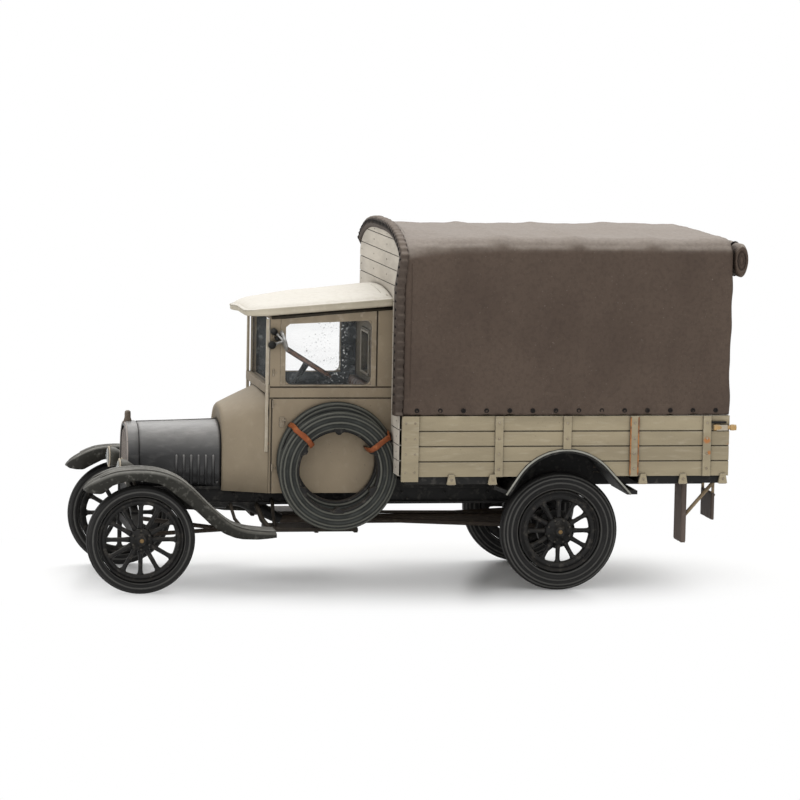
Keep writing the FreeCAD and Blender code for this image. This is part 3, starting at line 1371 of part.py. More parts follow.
def build_tilt():
    """The canvas tilt, a thin shell with a laced hem on the headboard, and its rolled rear curtain."""
    body = new_body("canvas_tilt")
    half, wall, bottom = s.bed_half_width, s.tilt_wall, s.tilt_bottom_z
    spring, crown, shoulder = s.tilt_spring_z, s.tilt_crown, s.tilt_shoulder
    hem_front = s.bed_front_x + s.hem_thickness
    face = s.bed_front_x + s.seat_gap
    outline = arch(half, bottom, spring, crown, shoulder)
    pad(body, "YZ", outline, bed_rear_x, s.bed_front_x - bed_rear_x, name="skin")
    pad(body, "YZ", arch(half + s.hem_proud, bottom, spring, crown + s.hem_rise, shoulder + s.hem_proud),
        hem_front - s.hem_length, s.hem_length, name="hem")
    pocket(body, "YZ", arch(half - wall, bottom - wall, spring, crown, shoulder - wall), bed_rear_x,
           face - bed_rear_x, name="hollow")
    lap = s.hem_lap
    pocket(body, "YZ", arch(half - lap, bottom - lap, spring, crown, shoulder - lap), face,
           hem_front - face, name="hem_return")
    roll = new_body("curtain_roll")
    x = bed_rear_x - s.roll_depth / 2
    across, up = s.roll_depth / 2, s.roll_height / 2
    pad(roll, "XZ", round_outline(x, s.roll_z, across, up), -half, 2 * half, name="roll")
    hollow = round_outline(x, s.roll_z, across * ROLL_HOLLOW[0], up * ROLL_HOLLOW[1])
    for name, start in (("left_end", half - s.roll_hollow), ("right_end", -half)):
        pocket(roll, "XZ", hollow, start, s.roll_hollow, name=name)


def build_hanging_boards():
    """The mud flap with its strut, and the board hung by two straps at the tail."""
    gap = s.seat_gap
    second_bearer, last_bearer = bearer_places()[-2], bearer_places()[-1]
    outer = s.bed_half_width - s.flap_inset
    front = second_bearer + s.flap_thickness / 2
    rear = front - s.flap_thickness
    middle = outer - s.flap_width / 3
    strut_top_z = bearer_bottom_z - s.strut_radius - gap
    fuse("mud_flap", [
        block("flap", (rear, outer - s.flap_width, s.flap_bottom_z), (front, outer, bearer_bottom_z)),
        rod("strut", (rear + s.strut_radius, middle, s.strut_foot_z), (last_bearer, middle, strut_top_z),
            s.strut_radius, sides=BAR_SIDES)])
    outer = s.bed_half_width - s.tail_board_inset
    inner = outer - s.tail_board_width
    front = last_bearer + s.tail_board_thickness / 2
    rear = front - s.tail_board_thickness
    bottom_z = s.tail_board_top_z - s.tail_board_height
    pieces = [block("board", (rear, inner, bottom_z), (front, outer, s.tail_board_top_z))]
    for index, y in enumerate((outer - s.hanger_width, inner)):
        pieces.append(block("hanger_%d" % index, (rear, y, s.tail_board_top_z - s.hanger_width),
                            (front, y + s.hanger_width, bearer_bottom_z)))
    fuse("tail_board", pieces)


def build_all():
    """Builds every sub-part."""
    build_wheels()
    build_frame()
    build_running_gear()
    build_engine()
    build_radiator()
    build_bonnet()
    build_cowl()
    build_cab_floor()
    build_cab_walls()
    build_cab_glass()
    build_roof()
    build_seat_and_steering()
    build_headlamps()
    build_mirror()
    build_front_mudguards()
    build_running_boards()
    build_spares()
    build_rear_mudguards()
    build_bed_floor()
    build_bed_sides()
    build_bed_ends()
    build_tilt()
    build_hanging_boards()


def check_and_export():
    """Stops on any failed object, then writes one STEP file per sub-part."""
    document.recompute()
    for item in document.Objects:
        if "Invalid" in item.State or "Error" in item.State:
            raise RuntimeError("%s did not build" % item.Label)
    os.makedirs("parts", exist_ok=True)
    for item in nodes:
        if item.Shape.isNull() or not item.Shape.isValid():
            raise RuntimeError("%s has no valid shape" % item.Label)
        item.Shape.exportStep("parts/%s.step" % item.Label)
        print("%-24s %8.3f mm3  %d solid(s)" % (item.Label, item.Shape.Volume, len(item.Shape.Solids)))


build_all()
check_and_export()
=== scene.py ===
"""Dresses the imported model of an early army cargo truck, a small hand-painted scale model.

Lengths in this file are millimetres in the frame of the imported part: +X to the radiator, +Y to the
driver's side, +Z up, with the floor at zero. They become metres as each mesh is made.
"""

import logging
import math
from dataclasses import dataclass
from enum import Enum
from functools import cached_property
from typing import Any, Iterable, Optional, Sequence, Union

import bmesh
import bpy
from mathutils import Matrix, Vector, noise


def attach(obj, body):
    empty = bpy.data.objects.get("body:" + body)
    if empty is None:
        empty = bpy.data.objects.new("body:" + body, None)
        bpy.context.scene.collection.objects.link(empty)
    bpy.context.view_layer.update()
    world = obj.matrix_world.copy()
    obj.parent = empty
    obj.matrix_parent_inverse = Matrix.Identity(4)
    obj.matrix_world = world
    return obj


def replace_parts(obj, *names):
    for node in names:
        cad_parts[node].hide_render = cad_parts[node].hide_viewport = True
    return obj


log = logging.getLogger("army_truck")
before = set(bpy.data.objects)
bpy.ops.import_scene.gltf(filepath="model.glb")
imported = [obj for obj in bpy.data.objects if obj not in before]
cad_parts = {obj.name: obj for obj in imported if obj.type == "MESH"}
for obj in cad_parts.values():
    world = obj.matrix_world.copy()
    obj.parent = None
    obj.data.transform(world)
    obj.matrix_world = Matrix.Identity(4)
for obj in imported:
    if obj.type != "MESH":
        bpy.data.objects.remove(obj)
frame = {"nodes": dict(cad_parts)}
MM = 0.001
SIDES = ((1, "left"), (-1, "right"))
Point = tuple[float, float, float]
Place = tuple[float, float]
ArchPoint = tuple[float, float, float, float]
Colour = tuple[int, int, int]


class Body(Enum):
    """The bodies of the part that pieces ride on."""

    TRUCK = "truck"
    FRONT_LEFT = "front_left_wheel"
    FRONT_RIGHT = "front_right_wheel"
    REAR_LEFT = "rear_left_wheel"
    REAR_RIGHT = "rear_right_wheel"


class Slot(Enum):
    """The material slots of the record."""

    TYRE = "tyre"
    BLACK = "black_paint"
    KHAKI = "grey_green"
    ROOF = "roof_paint"
    CANVAS = "canvas_paint"
    GLASS = "glass"
    BROWN = "brown_paint"
    STRAP = "strap"
    STEEL = "steel_bit"


def linear(colour: Colour) -> tuple[float, float, float, float]:
    """Turns a colour as a screen shows it into the shader's linear numbers.

    Args:
        colour: Red, green and blue from 0 to 255.

    Returns:
        Linear red, green and blue with an alpha of one.
    """
    parts = []
    for level in colour:
        share = level / 255
        parts.append(share / 12.92 if share <= 0.04045 else ((share + 0.055) / 1.055) ** 2.4)
    return parts[0], parts[1], parts[2], 1.0


class Term:
    """An output socket of a shader node that stands in Python expressions."""

    def __init__(self, graph: "Graph", socket: bpy.types.NodeSocket) -> None:
        """Wraps a socket of a graph."""
        self.graph, self.socket = graph, socket

    @property
    def is_vector(self) -> bool:
        """Whether the socket carries three numbers."""
        return self.socket.type == "VECTOR"

    def _join(self, operation: str, first: "Value", second: "Value") -> "Term":
        """Adds the Math or Vector Math node of one operator.

        Args:
            operation: The node's operation.
            first: Its first value.
            second: Its second value.

        Returns:
            The node's result.
        """
        pair = [first, second]
        if any(isinstance(item, Term) and item.is_vector for item in pair):
            pair = [(item,) * 3 if isinstance(item, (int, float)) else item for item in pair]
            return self.graph.node("ShaderNodeVectorMath", {"operation": operation}, pair)
        return self.graph.node("ShaderNodeMath", {"operation": operation}, pair)

    def __add__(self, other: "Value") -> "Term":
        """Sum."""
        return self._join("ADD", self, other)

    def __radd__(self, other: "Value") -> "Term":
        """Sum with the number first."""
        return self._join("ADD", other, self)

    def __sub__(self, other: "Value") -> "Term":
        """Difference."""
        return self._join("SUBTRACT", self, other)

    def __rsub__(self, other: "Value") -> "Term":
        """Difference with the number first."""
        return self._join("SUBTRACT", other, self)

    def __mul__(self, other: "Value") -> "Term":
        """Product."""
        return self._join("MULTIPLY", self, other)

    def __rmul__(self, other: "Value") -> "Term":
        """Product with the number first."""
        return self._join("MULTIPLY", other, self)

    def lesser(self, other: "Value") -> "Term":
        """The lesser of the two values."""
        return self._join("MINIMUM", self, other)

    def greater(self, other: "Value") -> "Term":
        """The greater of the two values."""
        return self._join("MAXIMUM", self, other)

    def absolute(self) -> "Term":
        """The value without its sign."""
        return self.graph.node("ShaderNodeMath", {"operation": "ABSOLUTE"}, [self])

    def step(self, low: float, high: float) -> "Term":
        """Rises smoothly from 0 at low to 1 at high, or falls where low is the greater."""
        return self.graph.node("ShaderNodeMapRange", {"interpolation_type": "SMOOTHSTEP"},
                               {"Value": self, "From Min": low, "From Max": high})

    def part(self, axis: str) -> "Term":
        """One of a vector's X, Y or Z."""
        return self.graph.node("ShaderNodeSeparateXYZ", {}, [self], axis)

    def measure(self, operation: str, other: "Value") -> "Term":
        """The number that two vectors give, such as their dot product or distance."""
        return self.graph.node("ShaderNodeVectorMath", {"operation": operation}, [self, other], "Value")


Value = Union[Term, float, Sequence[float]]


class Graph:
    """The nodes of one material, or of the surroundings, with the colour laid on so far."""

    def __init__(self, owner: Union[bpy.types.Material, bpy.types.World], base: Colour = (255, 255, 255)) -> None:
        """Empties the owner's node tree.

        Args:
            owner: What the nodes belong to.
            base: The colour that lies under all others.
        """
        owner.use_nodes = True
        self.tree = owner.node_tree
        self.tree.nodes.clear()
        self.colour: Value = linear(base)

    def node(self, kind: str, settings: Optional[dict[str, Any]] = None,
             inputs: Union[dict[Union[str, int], Value], Sequence[Value]] = (),
             output: Union[int, str] = 0) -> Term:
        """Adds a node.

        Args:
            kind: The node's type.
            settings: Its settings, set first, with "stops" for a ramp's places and colours.
            inputs: Values or links of its sockets, in order or by name.
            output: The output that the expression goes on with.

        Returns:
            That output.
        """
        made = self.tree.nodes.new(kind)
        for name, setting in (settings or {}).items():
            if name == "stops":
                for index, (place, colour) in enumerate(setting):
                    stops = made.color_ramp.elements
                    stop = stops[index] if index < 2 else stops.new(place)
                    stop.position, stop.color = place, colour
            else:
                setattr(made, name, setting)
        for key, given in inputs.items() if isinstance(inputs, dict) else enumerate(inputs):
            if isinstance(given, Term):
                self.tree.links.new(given.socket, made.inputs[key])
            else:
                made.inputs[key].default_value = given
        return Term(self, made.outputs[output])

    @cached_property
    def where(self) -> Term:
        """The place on the piece, in millimetres of the part's frame."""
        return self.node("ShaderNodeTexCoord", output="Object") * 1000.0

    def lay(self, share: Value, colour: Colour) -> None:
        """Lays a colour over the others, as strongly as the share says."""
        inputs = {0: share, 6: self.colour, 7: linear(colour)}
        self.colour = self.node("ShaderNodeMix", {"data_type": "RGBA"}, inputs, 2)

    def noise(self, size: float, detail: float, shift: float, stretch: Point = (1, 1, 1),
              roughness: float = 0.55) -> Term:
        """Cloudy noise.

        Args:
            size: The width of its lumps in millimetres.
            detail: How many finer layers it has.
            shift: Moves it, so that two noises differ.
            stretch: How far it is drawn out along each axis.
            roughness: The strength of the finer layers.

        Returns:
            A value from 0 to 1.
        """
        place = self.where * tuple(1 / (size * factor) for factor in stretch) + (shift, shift * 1.7, shift * 0.6)
        return self.node("ShaderNodeTexNoise", {"noise_dimensions": "3D"},
                         {"Vector": place, "Scale": 1.0, "Detail": detail, "Roughness": roughness})

    def facing(self, axis: str) -> Term:
        """How far the surface faces along an axis."""
        return self.node("ShaderNodeNewGeometry", output="Normal").part(axis)

    def hollows(self, reach: float) -> Term:
        """How deep a place lies in a corner or gap, from 0 in the open to 1, counting neighbours within reach."""
        return 1.0 - self.node("ShaderNodeAmbientOcclusion", {"samples": 6}, {"Distance": reach * MM}, "AO")

    def rounded(self, radius: float) -> Term:
        """The surface's direction with its edges rounded off."""
        return self.node("ShaderNodeBevel", {"samples": 4}, {"Radius": radius * MM})

    def edges(self, radius: float) -> Term:
        """Where a sharp edge is nearer than the radius, from 0 to 1."""
        return 1.0 - self.rounded(radius).measure("DOT_PRODUCT", self.node("ShaderNodeNewGeometry", output="Normal"))

    def seen(self) -> Term:
        """1 where the camera looks, straight or through a mirror or glass, and 0 for other light."""
        camera, glossy, through = (self.node("ShaderNodeLightPath", output=name)
                                   for name in ("Is Camera Ray", "Is Glossy Ray", "Is Transmission Ray"))
        return camera.greater(glossy).greater(through)

    def finish(self, roughness: Value, height: Optional[Term] = None, depth: float = 0.05, soften: float = 0.0,
               **fixed: Any) -> None:
        """Adds the shader and the output.

        Args:
            roughness: The roughness.
            height: The relief from 0 to 1, if there is one.
            depth: The relief's full depth in millimetres.
            soften: The rounding of the edges in millimetres.
            fixed: Other sockets of the shader, with spaces as underscores.
        """
        sockets: dict[Union[str, int], Value] = {"Base Color": self.colour, "Roughness": roughness}
        sockets.update({name.replace("_", " "): given for name, given in fixed.items()})
        if height is not None:
            relief: dict[Union[str, int], Value] = {"Strength": 1.0, "Distance": depth * MM, "Height": height}
            if soften:
                relief["Normal"] = self.rounded(soften)
            sockets["Normal"] = self.node("ShaderNodeBump", {}, relief)
        self.close(self.node("ShaderNodeBsdfPrincipled", {}, sockets))

    def close(self, shader: Term, kind: str = "ShaderNodeOutputMaterial") -> None:
        """Links a shader to an output node of the given type."""
        self.tree.links.new(shader.socket, self.tree.nodes.new(kind).inputs["Surface"])


@dataclass(frozen=True)
class Finish:
    """A finish, with the slot that it is meant for; its material is made when first used."""

    name: str
    slot: Slot
    base: Colour

    @cached_property
    def material(self) -> bpy.types.Material:
        """The finish's material."""
        made = bpy.data.materials.new(self.name)
        self.nodes(Graph(made, self.base))
        return made

    def nodes(self, graph: Graph) -> None:
        """Builds the finish's nodes, as each kind of finish has them."""
        raise NotImplementedError


@dataclass(frozen=True)
class Spot:
    """A patch of another colour on a painted surface."""

    place: Point
    size: float
    colour: Colour = (176, 110, 54)
    strength: float = 0.8


@dataclass(frozen=True)
class Paint(Finish):
    """Brushed matt paint: wash and painted shade in hollows, dust and painted highlight on top, dry-brushed edges."""

    shade: Colour
    light: Colour
    mottle: float = 0.35
    wash_and_shade: float = 0.8
    wash_and_shade_reach: float = 0.35
    edge: float = 0.6
    edge_radius: float = 0.1
    dust_and_sheen: float = 0.2
    roughness: float = 0.62
    grain: float = 0.02
    streak: Point = (1, 1, 1)
    spots: tuple[Spot, ...] = ()
    soften: float = 0.06
    gloss: float = 0.2
    dust_and_sheen_from: float = 0.35

    def nodes(self, graph: Graph) -> None:
        """Builds the paint's nodes.

        Args:
            graph: The material's graph.
        """
        broad = graph.noise(3.2, 4, 3.0, self.streak)
        fine = graph.noise(0.5, 5, 9.0, self.streak)
        speck = graph.noise(0.16, 2, 5.0)
        graph.lay(broad.step(0.35, 0.7) * self.mottle, self.shade)
        graph.lay(fine.step(0.52, 0.72) * self.mottle * 0.8, self.light)
        # Dust and a painted highlight, lighter on faces that turn upwards.
        graph.lay(graph.facing("Z").step(self.dust_and_sheen_from, 0.95) * (0.55 + fine * 0.9) * self.dust_and_sheen, self.light)
        graph.lay(graph.edges(self.edge_radius).step(0.02, 0.22) * fine.step(0.3, 0.6) * self.edge, self.light)
        # Dark wash and painted shade, darker where the surface lies in a corner or gap.
        graph.lay(graph.hollows(self.wash_and_shade_reach).step(0.18, 0.75) * self.wash_and_shade, self.shade)
        graph.lay(speck.step(0.7, 0.78) * 0.5, self.shade)
        for spot in self.spots:
            ragged = graph.where.measure("DISTANCE", spot.place) + (fine - 0.5) * spot.size
            graph.lay(ragged.step(spot.size, spot.size * 0.4) * spot.strength, spot.colour)
        graph.finish(self.roughness + (fine - 0.5) * 0.2, fine * 0.6 + speck * 0.4, self.grain, self.soften,
                     Specular_IOR_Level=self.gloss)


def grid(columns: int, rows: int, around: bool = False, along: bool = False,
         ends: bool = False) -> list[tuple[int, ...]]:
    """Faces of a grid of points given column by column.

    Args:
        columns: Number of columns.
        rows: Number of points in a column.
        around: Whether the last point of a column joins its first.
        along: Whether the last column joins the first.
        ends: Whether the first and the last column are closed by a face.

    Returns:
        The faces.
    """
    faces: list[tuple[int, ...]] = []
    for column in range(columns if along else columns - 1):
        following = (column + 1) % columns
        for row in range(rows if around else rows - 1):
            above = (row + 1) % rows
            faces.append((column * rows + row, following * rows + row, following * rows + above, column * rows + above))
    if ends:
        faces += [tuple(range(rows)), tuple(reversed(range((columns - 1) * rows, columns * rows)))]
    return faces


def slab(columns: int, rows: int) -> list[tuple[int, ...]]:
    """Faces of two grids of points, one behind the other, closed round their rims.

    Args:
        columns: Number of columns of each grid.
        rows: Number of points in a column.

    Returns:
        The faces.
    """
    count = columns * rows
    faces = grid(columns, rows)
    faces += [tuple(count + index for index in face[::-1]) for face in faces]
    rim = list(range(rows)) + [column * rows + rows - 1 for column in range(1, columns)]
    rim += [(columns - 1) * rows + row for row in range(rows - 2, -1, -1)]
    rim += [column * rows for column in range(columns - 2, 0, -1)]
    faces += [(first, second, count + second, count + first) for first, second in zip(rim, rim[1:] + rim[:1])]
    return faces


def make_piece(name: str, points: Sequence[Point], faces: Sequence[Sequence[int]], finish: Finish,
               smooth: bool = True, body: Body = Body.TRUCK,
               closed: bool = True) -> bpy.types.Object:
    """Makes one piece out of points in millimetres and lets it ride on a body.

    Args:
        name: The piece's name.
        points: Its points.
        faces: Corners of its faces, as numbers of points.
        finish: Its finish.
        smooth: Whether its faces are shaded smooth.
        body: The body that it rides on.
        closed: Whether it is a closed shape, whose faces are turned outwards.

    Returns:
        The piece.
    """
    mesh = bpy.data.meshes.new(name)
    mesh.from_pydata([tuple(MM * number for number in point) for point in points], [], faces)
    mesh.validate()
    if smooth:
        mesh.shade_smooth()
    mesh.materials.append(finish.material)
    piece = bpy.data.objects.new(name, mesh)
    bpy.context.scene.collection.objects.link(piece)
    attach(piece, body.value)
    if closed:
        work = bmesh.new()
        work.from_mesh(mesh)
        bmesh.ops.recalc_face_normals(work, faces=work.faces)
        work.to_mesh(mesh)
        work.free()
    return piece


def turned(name: str, section: Sequence[Place], centre: Point, finish: Finish, segments: int = 96,
           body: Body = Body.TRUCK) -> bpy.types.Object:
    """Turns a closed section about an axis along Y.

    Args:
        name: The piece's name.
        section: Distances from the axis and along it.
        centre: The middle of the axis.
        finish: Its finish.
        segments: How many steps the turn has.
        body: The body that the piece rides on.

    Returns:
        The piece.
    """
    points = []
    for segment in range(segments):
        angle = 2 * math.pi * segment / segments
        points += [(centre[0] + radius * math.cos(angle), centre[1] + side, centre[2] + radius * math.sin(angle))
                   for radius, side in section]
    return make_piece(name, points, grid(segments, len(section), around=True, along=True), finish, True, body)


class Trim:
    """Many small like things joined into one mesh."""

    def __init__(self) -> None:
        """Starts with nothing."""
        self.points: list[Point] = []
        self.faces: list[tuple[int, ...]] = []

    def add(self, points: Iterable[Sequence[float]], faces: Iterable[Sequence[int]]) -> None:
        """Adds points with their faces, numbered from their own first point."""
        first = len(self.points)
        self.points.extend(tuple(point) for point in points)
        self.faces.extend(tuple(first + index for index in face) for face in faces)

    def stud(self, place: Point, direction: Point, radius: float, height: float, sides: int = 8,
             flat: bool = False) -> None:
        """Adds a round or flat-topped rivet or bolt head.

        Args:
            place: The middle of its foot.
            direction: Where its head points.
            radius: Its radius.
            height: Its height.
            sides: How many sides it has.
            flat: Whether its top is flat.
        """
        up = Vector(direction).normalized()
        turn = up.to_track_quat("Z", "Y").to_matrix()
        rings = ((1.0, 0.0), (1.0, 0.8), (0.86, 1.0)) if flat else ((1.0, 0.0), (0.92, 0.45), (0.6, 0.85))
        points = []
        for share, level in rings:
            for side in range(sides):
                angle = 2 * math.pi * side / sides
                local = Vector((math.cos(angle) * radius * share, math.sin(angle) * radius * share, height * level))
                points.append(tuple(Vector(place) + turn @ local))
        points.append(tuple(Vector(place) + up * height))
        faces = [tuple(reversed(range(sides)))]
        for ring in range(len(rings)):
            for side in range(sides):
                low, after = ring * sides + side, ring * sides + (side + 1) % sides
                last = ring == len(rings) - 1
                faces.append((low, after, len(points) - 1) if last else (low, after, after + sides, low + sides))
        self.add(points, faces)

    def bar(self, start: Point, stop: Point, radius: float, sides: int = 8, end_radius: Optional[float] = None) -> None:
        """Adds a straight round bar with closed ends.

        Args:
            start: The middle of one end.
            stop: The middle of the other end.
            radius: Its radius.
            sides: How many sides it has.
            end_radius: Its radius at stop, if it tapers.
        """
        self.tube([start, stop], radius, sides, [radius, radius if end_radius is None else end_radius])

    def tube(self, path: Sequence[Point], radius: float, sides: int = 8,
             radii: Optional[Sequence[float]] = None, closed: bool = False) -> None:
        """Adds a round tube along a path.

        Args:
            path: Points along its middle line.
            radius: Its radius.
            sides: How many sides it has.
            radii: Its radius at each point, if it varies.
            closed: Whether the path's last point joins its first.
        """
        line = [Vector(point) for point in path]
        count = len(line)
        points: list[tuple[float, ...]] = []
        normal: Optional[Vector] = None
        for index, point in enumerate(line):
            before = line[index - 1] if index or closed else point
            after = line[(index + 1) % count] if index < count - 1 or closed else point
            ahead = (after - before).normalized()
            if normal is None:
                normal = ahead.orthogonal().normalized()
            normal = (normal - ahead * normal.dot(ahead)).normalized()
            across = ahead.cross(normal)
            size = radii[index] if radii else radius
            for side in range(sides):
                angle = 2 * math.pi * side / sides
                points.append(tuple(point + (normal * math.cos(angle) + across * math.sin(angle)) * size))
        self.add(points, grid(count, sides, around=True, along=closed, ends=not closed))

    def hoop(self, centre: Point, first: Point, second: Point, radius: float, steps: int, sides: int = 8) -> None:
        """Adds a closed ring of round bar.

        Args:
            centre: The ring's middle.
            first: One half axis of the ring.
            second: Its other half axis.
            radius: The bar's radius.
            steps: How many points the ring has.
            sides: How many sides the bar has.
        """
        turns = [2 * math.pi * step / steps for step in range(steps)]
        path = [tuple(Vector(centre) + Vector(first) * math.cos(turn) + Vector(second) * math.sin(turn))
                for turn in turns]
        self.tube(path, radius, sides, closed=True)

    def box(self, first: Point, second: Point, slant: float = 0.0) -> None:
        """Adds a box whose upper edges are drawn in.

        Args:
            first: One of its corners.
            second: The corner across from it.
            slant: How far the top face is drawn in on each side.
        """
        (x0, x1), (y0, y1), (z0, z1) = (sorted(pair) for pair in zip(first, second))
        points = [(x0, y0, z0), (x1, y0, z0), (x1, y1, z0), (x0, y1, z0), (x0 + slant, y0 + slant, z1),
                  (x1 - slant, y0 + slant, z1), (x1 - slant, y1 - slant, z1), (x0 + slant, y1 - slant, z1)]
        self.add(points, [(0, 3, 2, 1), (4, 5, 6, 7), (0, 1, 5, 4), (1, 2, 6, 5), (2, 3, 7, 6), (3, 0, 4, 7)])

    def build(self, name: str, finish: Finish, smooth: bool = False, body: Body = Body.TRUCK,
              slot: Optional[Slot] = None) -> bpy.types.Object:
        """Makes the mesh, as make_piece does."""
        return make_piece(name, self.points, self.faces, finish, smooth, body)


def dress(finish: Finish, *nodes: str) -> None:
    """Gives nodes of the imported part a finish.

    Args:
        finish: The finish.
        nodes: Names of the nodes.
    """
    for name in nodes:
        mesh = frame["nodes"][name].data
        mesh.materials.clear()
        mesh.materials.append(finish.material)


@dataclass(frozen=True)
class CanvasPaint(Finish):
    """Painted canvas: leathery brown, fine grain, dust and painted highlight on top, painted shade in folds."""

    base: Colour = (73, 60, 51)
    shade: Colour = (50, 40, 34)
    light: Colour = (98, 84, 73)
    dust_and_sheen: Colour = (158, 148, 138)
    grain: float = 0.06

    def nodes(self, graph: Graph) -> None:
        """Builds the canvas's nodes.

        Args:
            graph: The material's graph.
        """
        cloud = graph.noise(6.0, 4, 2.0, (1, 1, 1.4))
        pores = graph.noise(0.34, 6, 6.0, roughness=0.7)
        fibre = graph.noise(0.2, 3, 8.0)
        graph.lay(cloud.step(0.3, 0.7) * 0.4, self.light)
        graph.lay(pores.step(0.56, 0.36) * 0.25, self.shade)
        graph.lay(graph.noise(1.1, 4, 4.0, (3.0, 1, 0.5)).step(0.62, 0.74) * 0.2, self.light)
        graph.lay(fibre.step(0.66, 0.76) * 0.22, self.dust_and_sheen)
        # Dust and a painted highlight on faces turned up.
        graph.lay(graph.facing("Z").step(0.2, 0.95) * (0.5 + pores * 0.8) * 0.75, self.dust_and_sheen)
        # Painted shade in folds and hollows.
        graph.lay(graph.hollows(0.7).step(0.12, 0.65) * 0.85, self.shade)
        graph.finish(0.55 + cloud * 0.2, pores * 0.65 + fibre * 0.2 + cloud * 0.15, self.grain,
                     Specular_IOR_Level=0.25)


@dataclass(frozen=True)
class RubberPaint(Finish):
    """A tyre's dark paint, rubbed lighter on its raised rings."""

    base: Colour = (34, 33, 32)
    ring: Colour = (88, 87, 84)
    groove: Colour = (14, 14, 14)
    centre: Point = (0.0, 0.0, 0.0)
    lines: tuple[float, ...] = ()

    def nodes(self, graph: Graph) -> None:
        """Builds the tyre's nodes.

        Args:
            graph: The material's graph.
        """
        patches = graph.noise(1.3, 4, 3.0)
        fine = graph.noise(0.24, 4, 7.0)
        graph.lay(patches.step(0.35, 0.65) * 0.5, self.groove)
        radius = (graph.where * (1.0, 0.0, 1.0)).measure("DISTANCE", (self.centre[0], 0.0, self.centre[2]))
        side = graph.facing("Y").absolute().step(0.25, 0.6)
        for line in self.lines:
            near = (radius + (fine - 0.5) * 0.05 - line).absolute()
            graph.lay(near.step(0.24, 0.14) * side * 0.55, self.groove)
            graph.lay(near.step(0.1, 0.03) * side * (0.35 + patches * 0.6), self.ring)
        graph.lay(graph.edges(0.09).step(0.015, 0.12) * (0.3 + fine * 0.5), self.ring)
        # Painted shade: darker in the tyre's hollows.
        graph.lay(graph.hollows(0.16).step(0.25, 0.7) * 0.8, self.groove)
        graph.lay(fine.step(0.62, 0.75) * 0.25, self.ring)
        graph.finish(0.55 + patches * 0.15, fine, 0.02, Specular_IOR_Level=0.2)


@dataclass(frozen=True)
class ClearFilm(Finish):
    """Thin clear film with pale specks near its front end."""

    base: Colour = (214, 220, 222)
    haze: float = 0.02
    specks_from: float = -99.0
    specks_to: float = 99.0
    smear: float = 0.04
    speck: Colour = (225, 227, 226)

    def nodes(self, graph: Graph) -> None:
        """Builds the film's nodes.

        Args:
            graph: The material's graph.
        """
        along = graph.where.part("X")
        within = (along.step(self.specks_from - 0.3, self.specks_from + 0.3)
                  * along.step(self.specks_to + 0.3, self.specks_to - 0.3))
        specks = graph.noise(0.2, 1, 4.0).step(0.66, 0.72) * graph.noise(1.6, 2, 1.0).step(0.4, 0.55) * within
        smear = graph.noise(2.6, 3, 2.0, (2.4, 1, 0.6)).step(0.45, 0.8)
        graph.lay(specks, self.speck)
        graph.finish(0.12, Alpha=(self.haze + smear * self.smear + specks * 0.7).lesser(1.0), Specular_IOR_Level=0.15)


@dataclass(frozen=True)
class BareMetal(Finish):
    """Metal paint, silver or brass, dulled in its corners."""

    base: Colour = (166, 165, 162)
    dull: Colour = (84, 80, 74)
    metallic: float = 0.75
    roughness: float = 0.35

    def nodes(self, graph: Graph) -> None:
        """Builds the metal's nodes.

        Args:
            graph: The material's graph.
        """
        tarnish = graph.noise(0.45, 4, 2.0)
        graph.lay(tarnish.step(0.45, 0.7) * 0.6, self.dull)
        graph.lay(graph.hollows(0.2).step(0.2, 0.7) * 0.7, self.dull)
        graph.finish(self.roughness + tarnish * 0.25, tarnish, 0.012, Metallic=self.metallic)


@dataclass(frozen=True)
class RustPaint(Finish):
    """Orange rust over the paint below, speckled and brown in places."""

    base: Colour = (112, 70, 42)
    bright: Colour = (176, 116, 62)
    under: Colour = (140, 118, 92)
    bare: float = 0.4

    def nodes(self, graph: Graph) -> None:
        """Builds the rust's nodes.

        Args:
            graph: The material's graph.
        """
        patch = graph.noise(0.5, 5, 2.5, roughness=0.65)
        grain = graph.noise(0.14, 3, 6.5)
        graph.lay(patch.step(0.4, 0.6), self.bright)
        graph.lay(grain.step(0.55, 0.66) * self.bare, self.under)
        graph.lay(graph.hollows(0.2).step(0.25, 0.75) * 0.7, self.base)
        graph.finish(0.75, grain * 0.5 + patch * 0.5, 0.03)


@dataclass(frozen=True)
class SeatLeather(Finish):
    """Brown painted seat with a fine pebbled skin."""

    base: Colour = (74, 54, 42)
    worn: Colour = (124, 98, 78)
    shade: Colour = (34, 25, 20)

    def nodes(self, graph: Graph) -> None:
        """Builds the seat's nodes.

        Args:
            graph: The material's graph.
        """
        pebbles = graph.node("ShaderNodeTexVoronoi", {"feature": "F1"}, {"Vector": graph.where, "Scale": 4.2},
                             "Distance")
        cloud = graph.noise(1.8, 3, 2.0)
        graph.lay(cloud.step(0.4, 0.7) * 0.5, self.worn)
        graph.lay(graph.edges(0.15).step(0.02, 0.15) * 0.6, self.worn)
        graph.lay(graph.hollows(0.5).step(0.2, 0.7) * 0.8, self.shade)
        graph.finish(0.42 + cloud * 0.2, pebbles, 0.03)


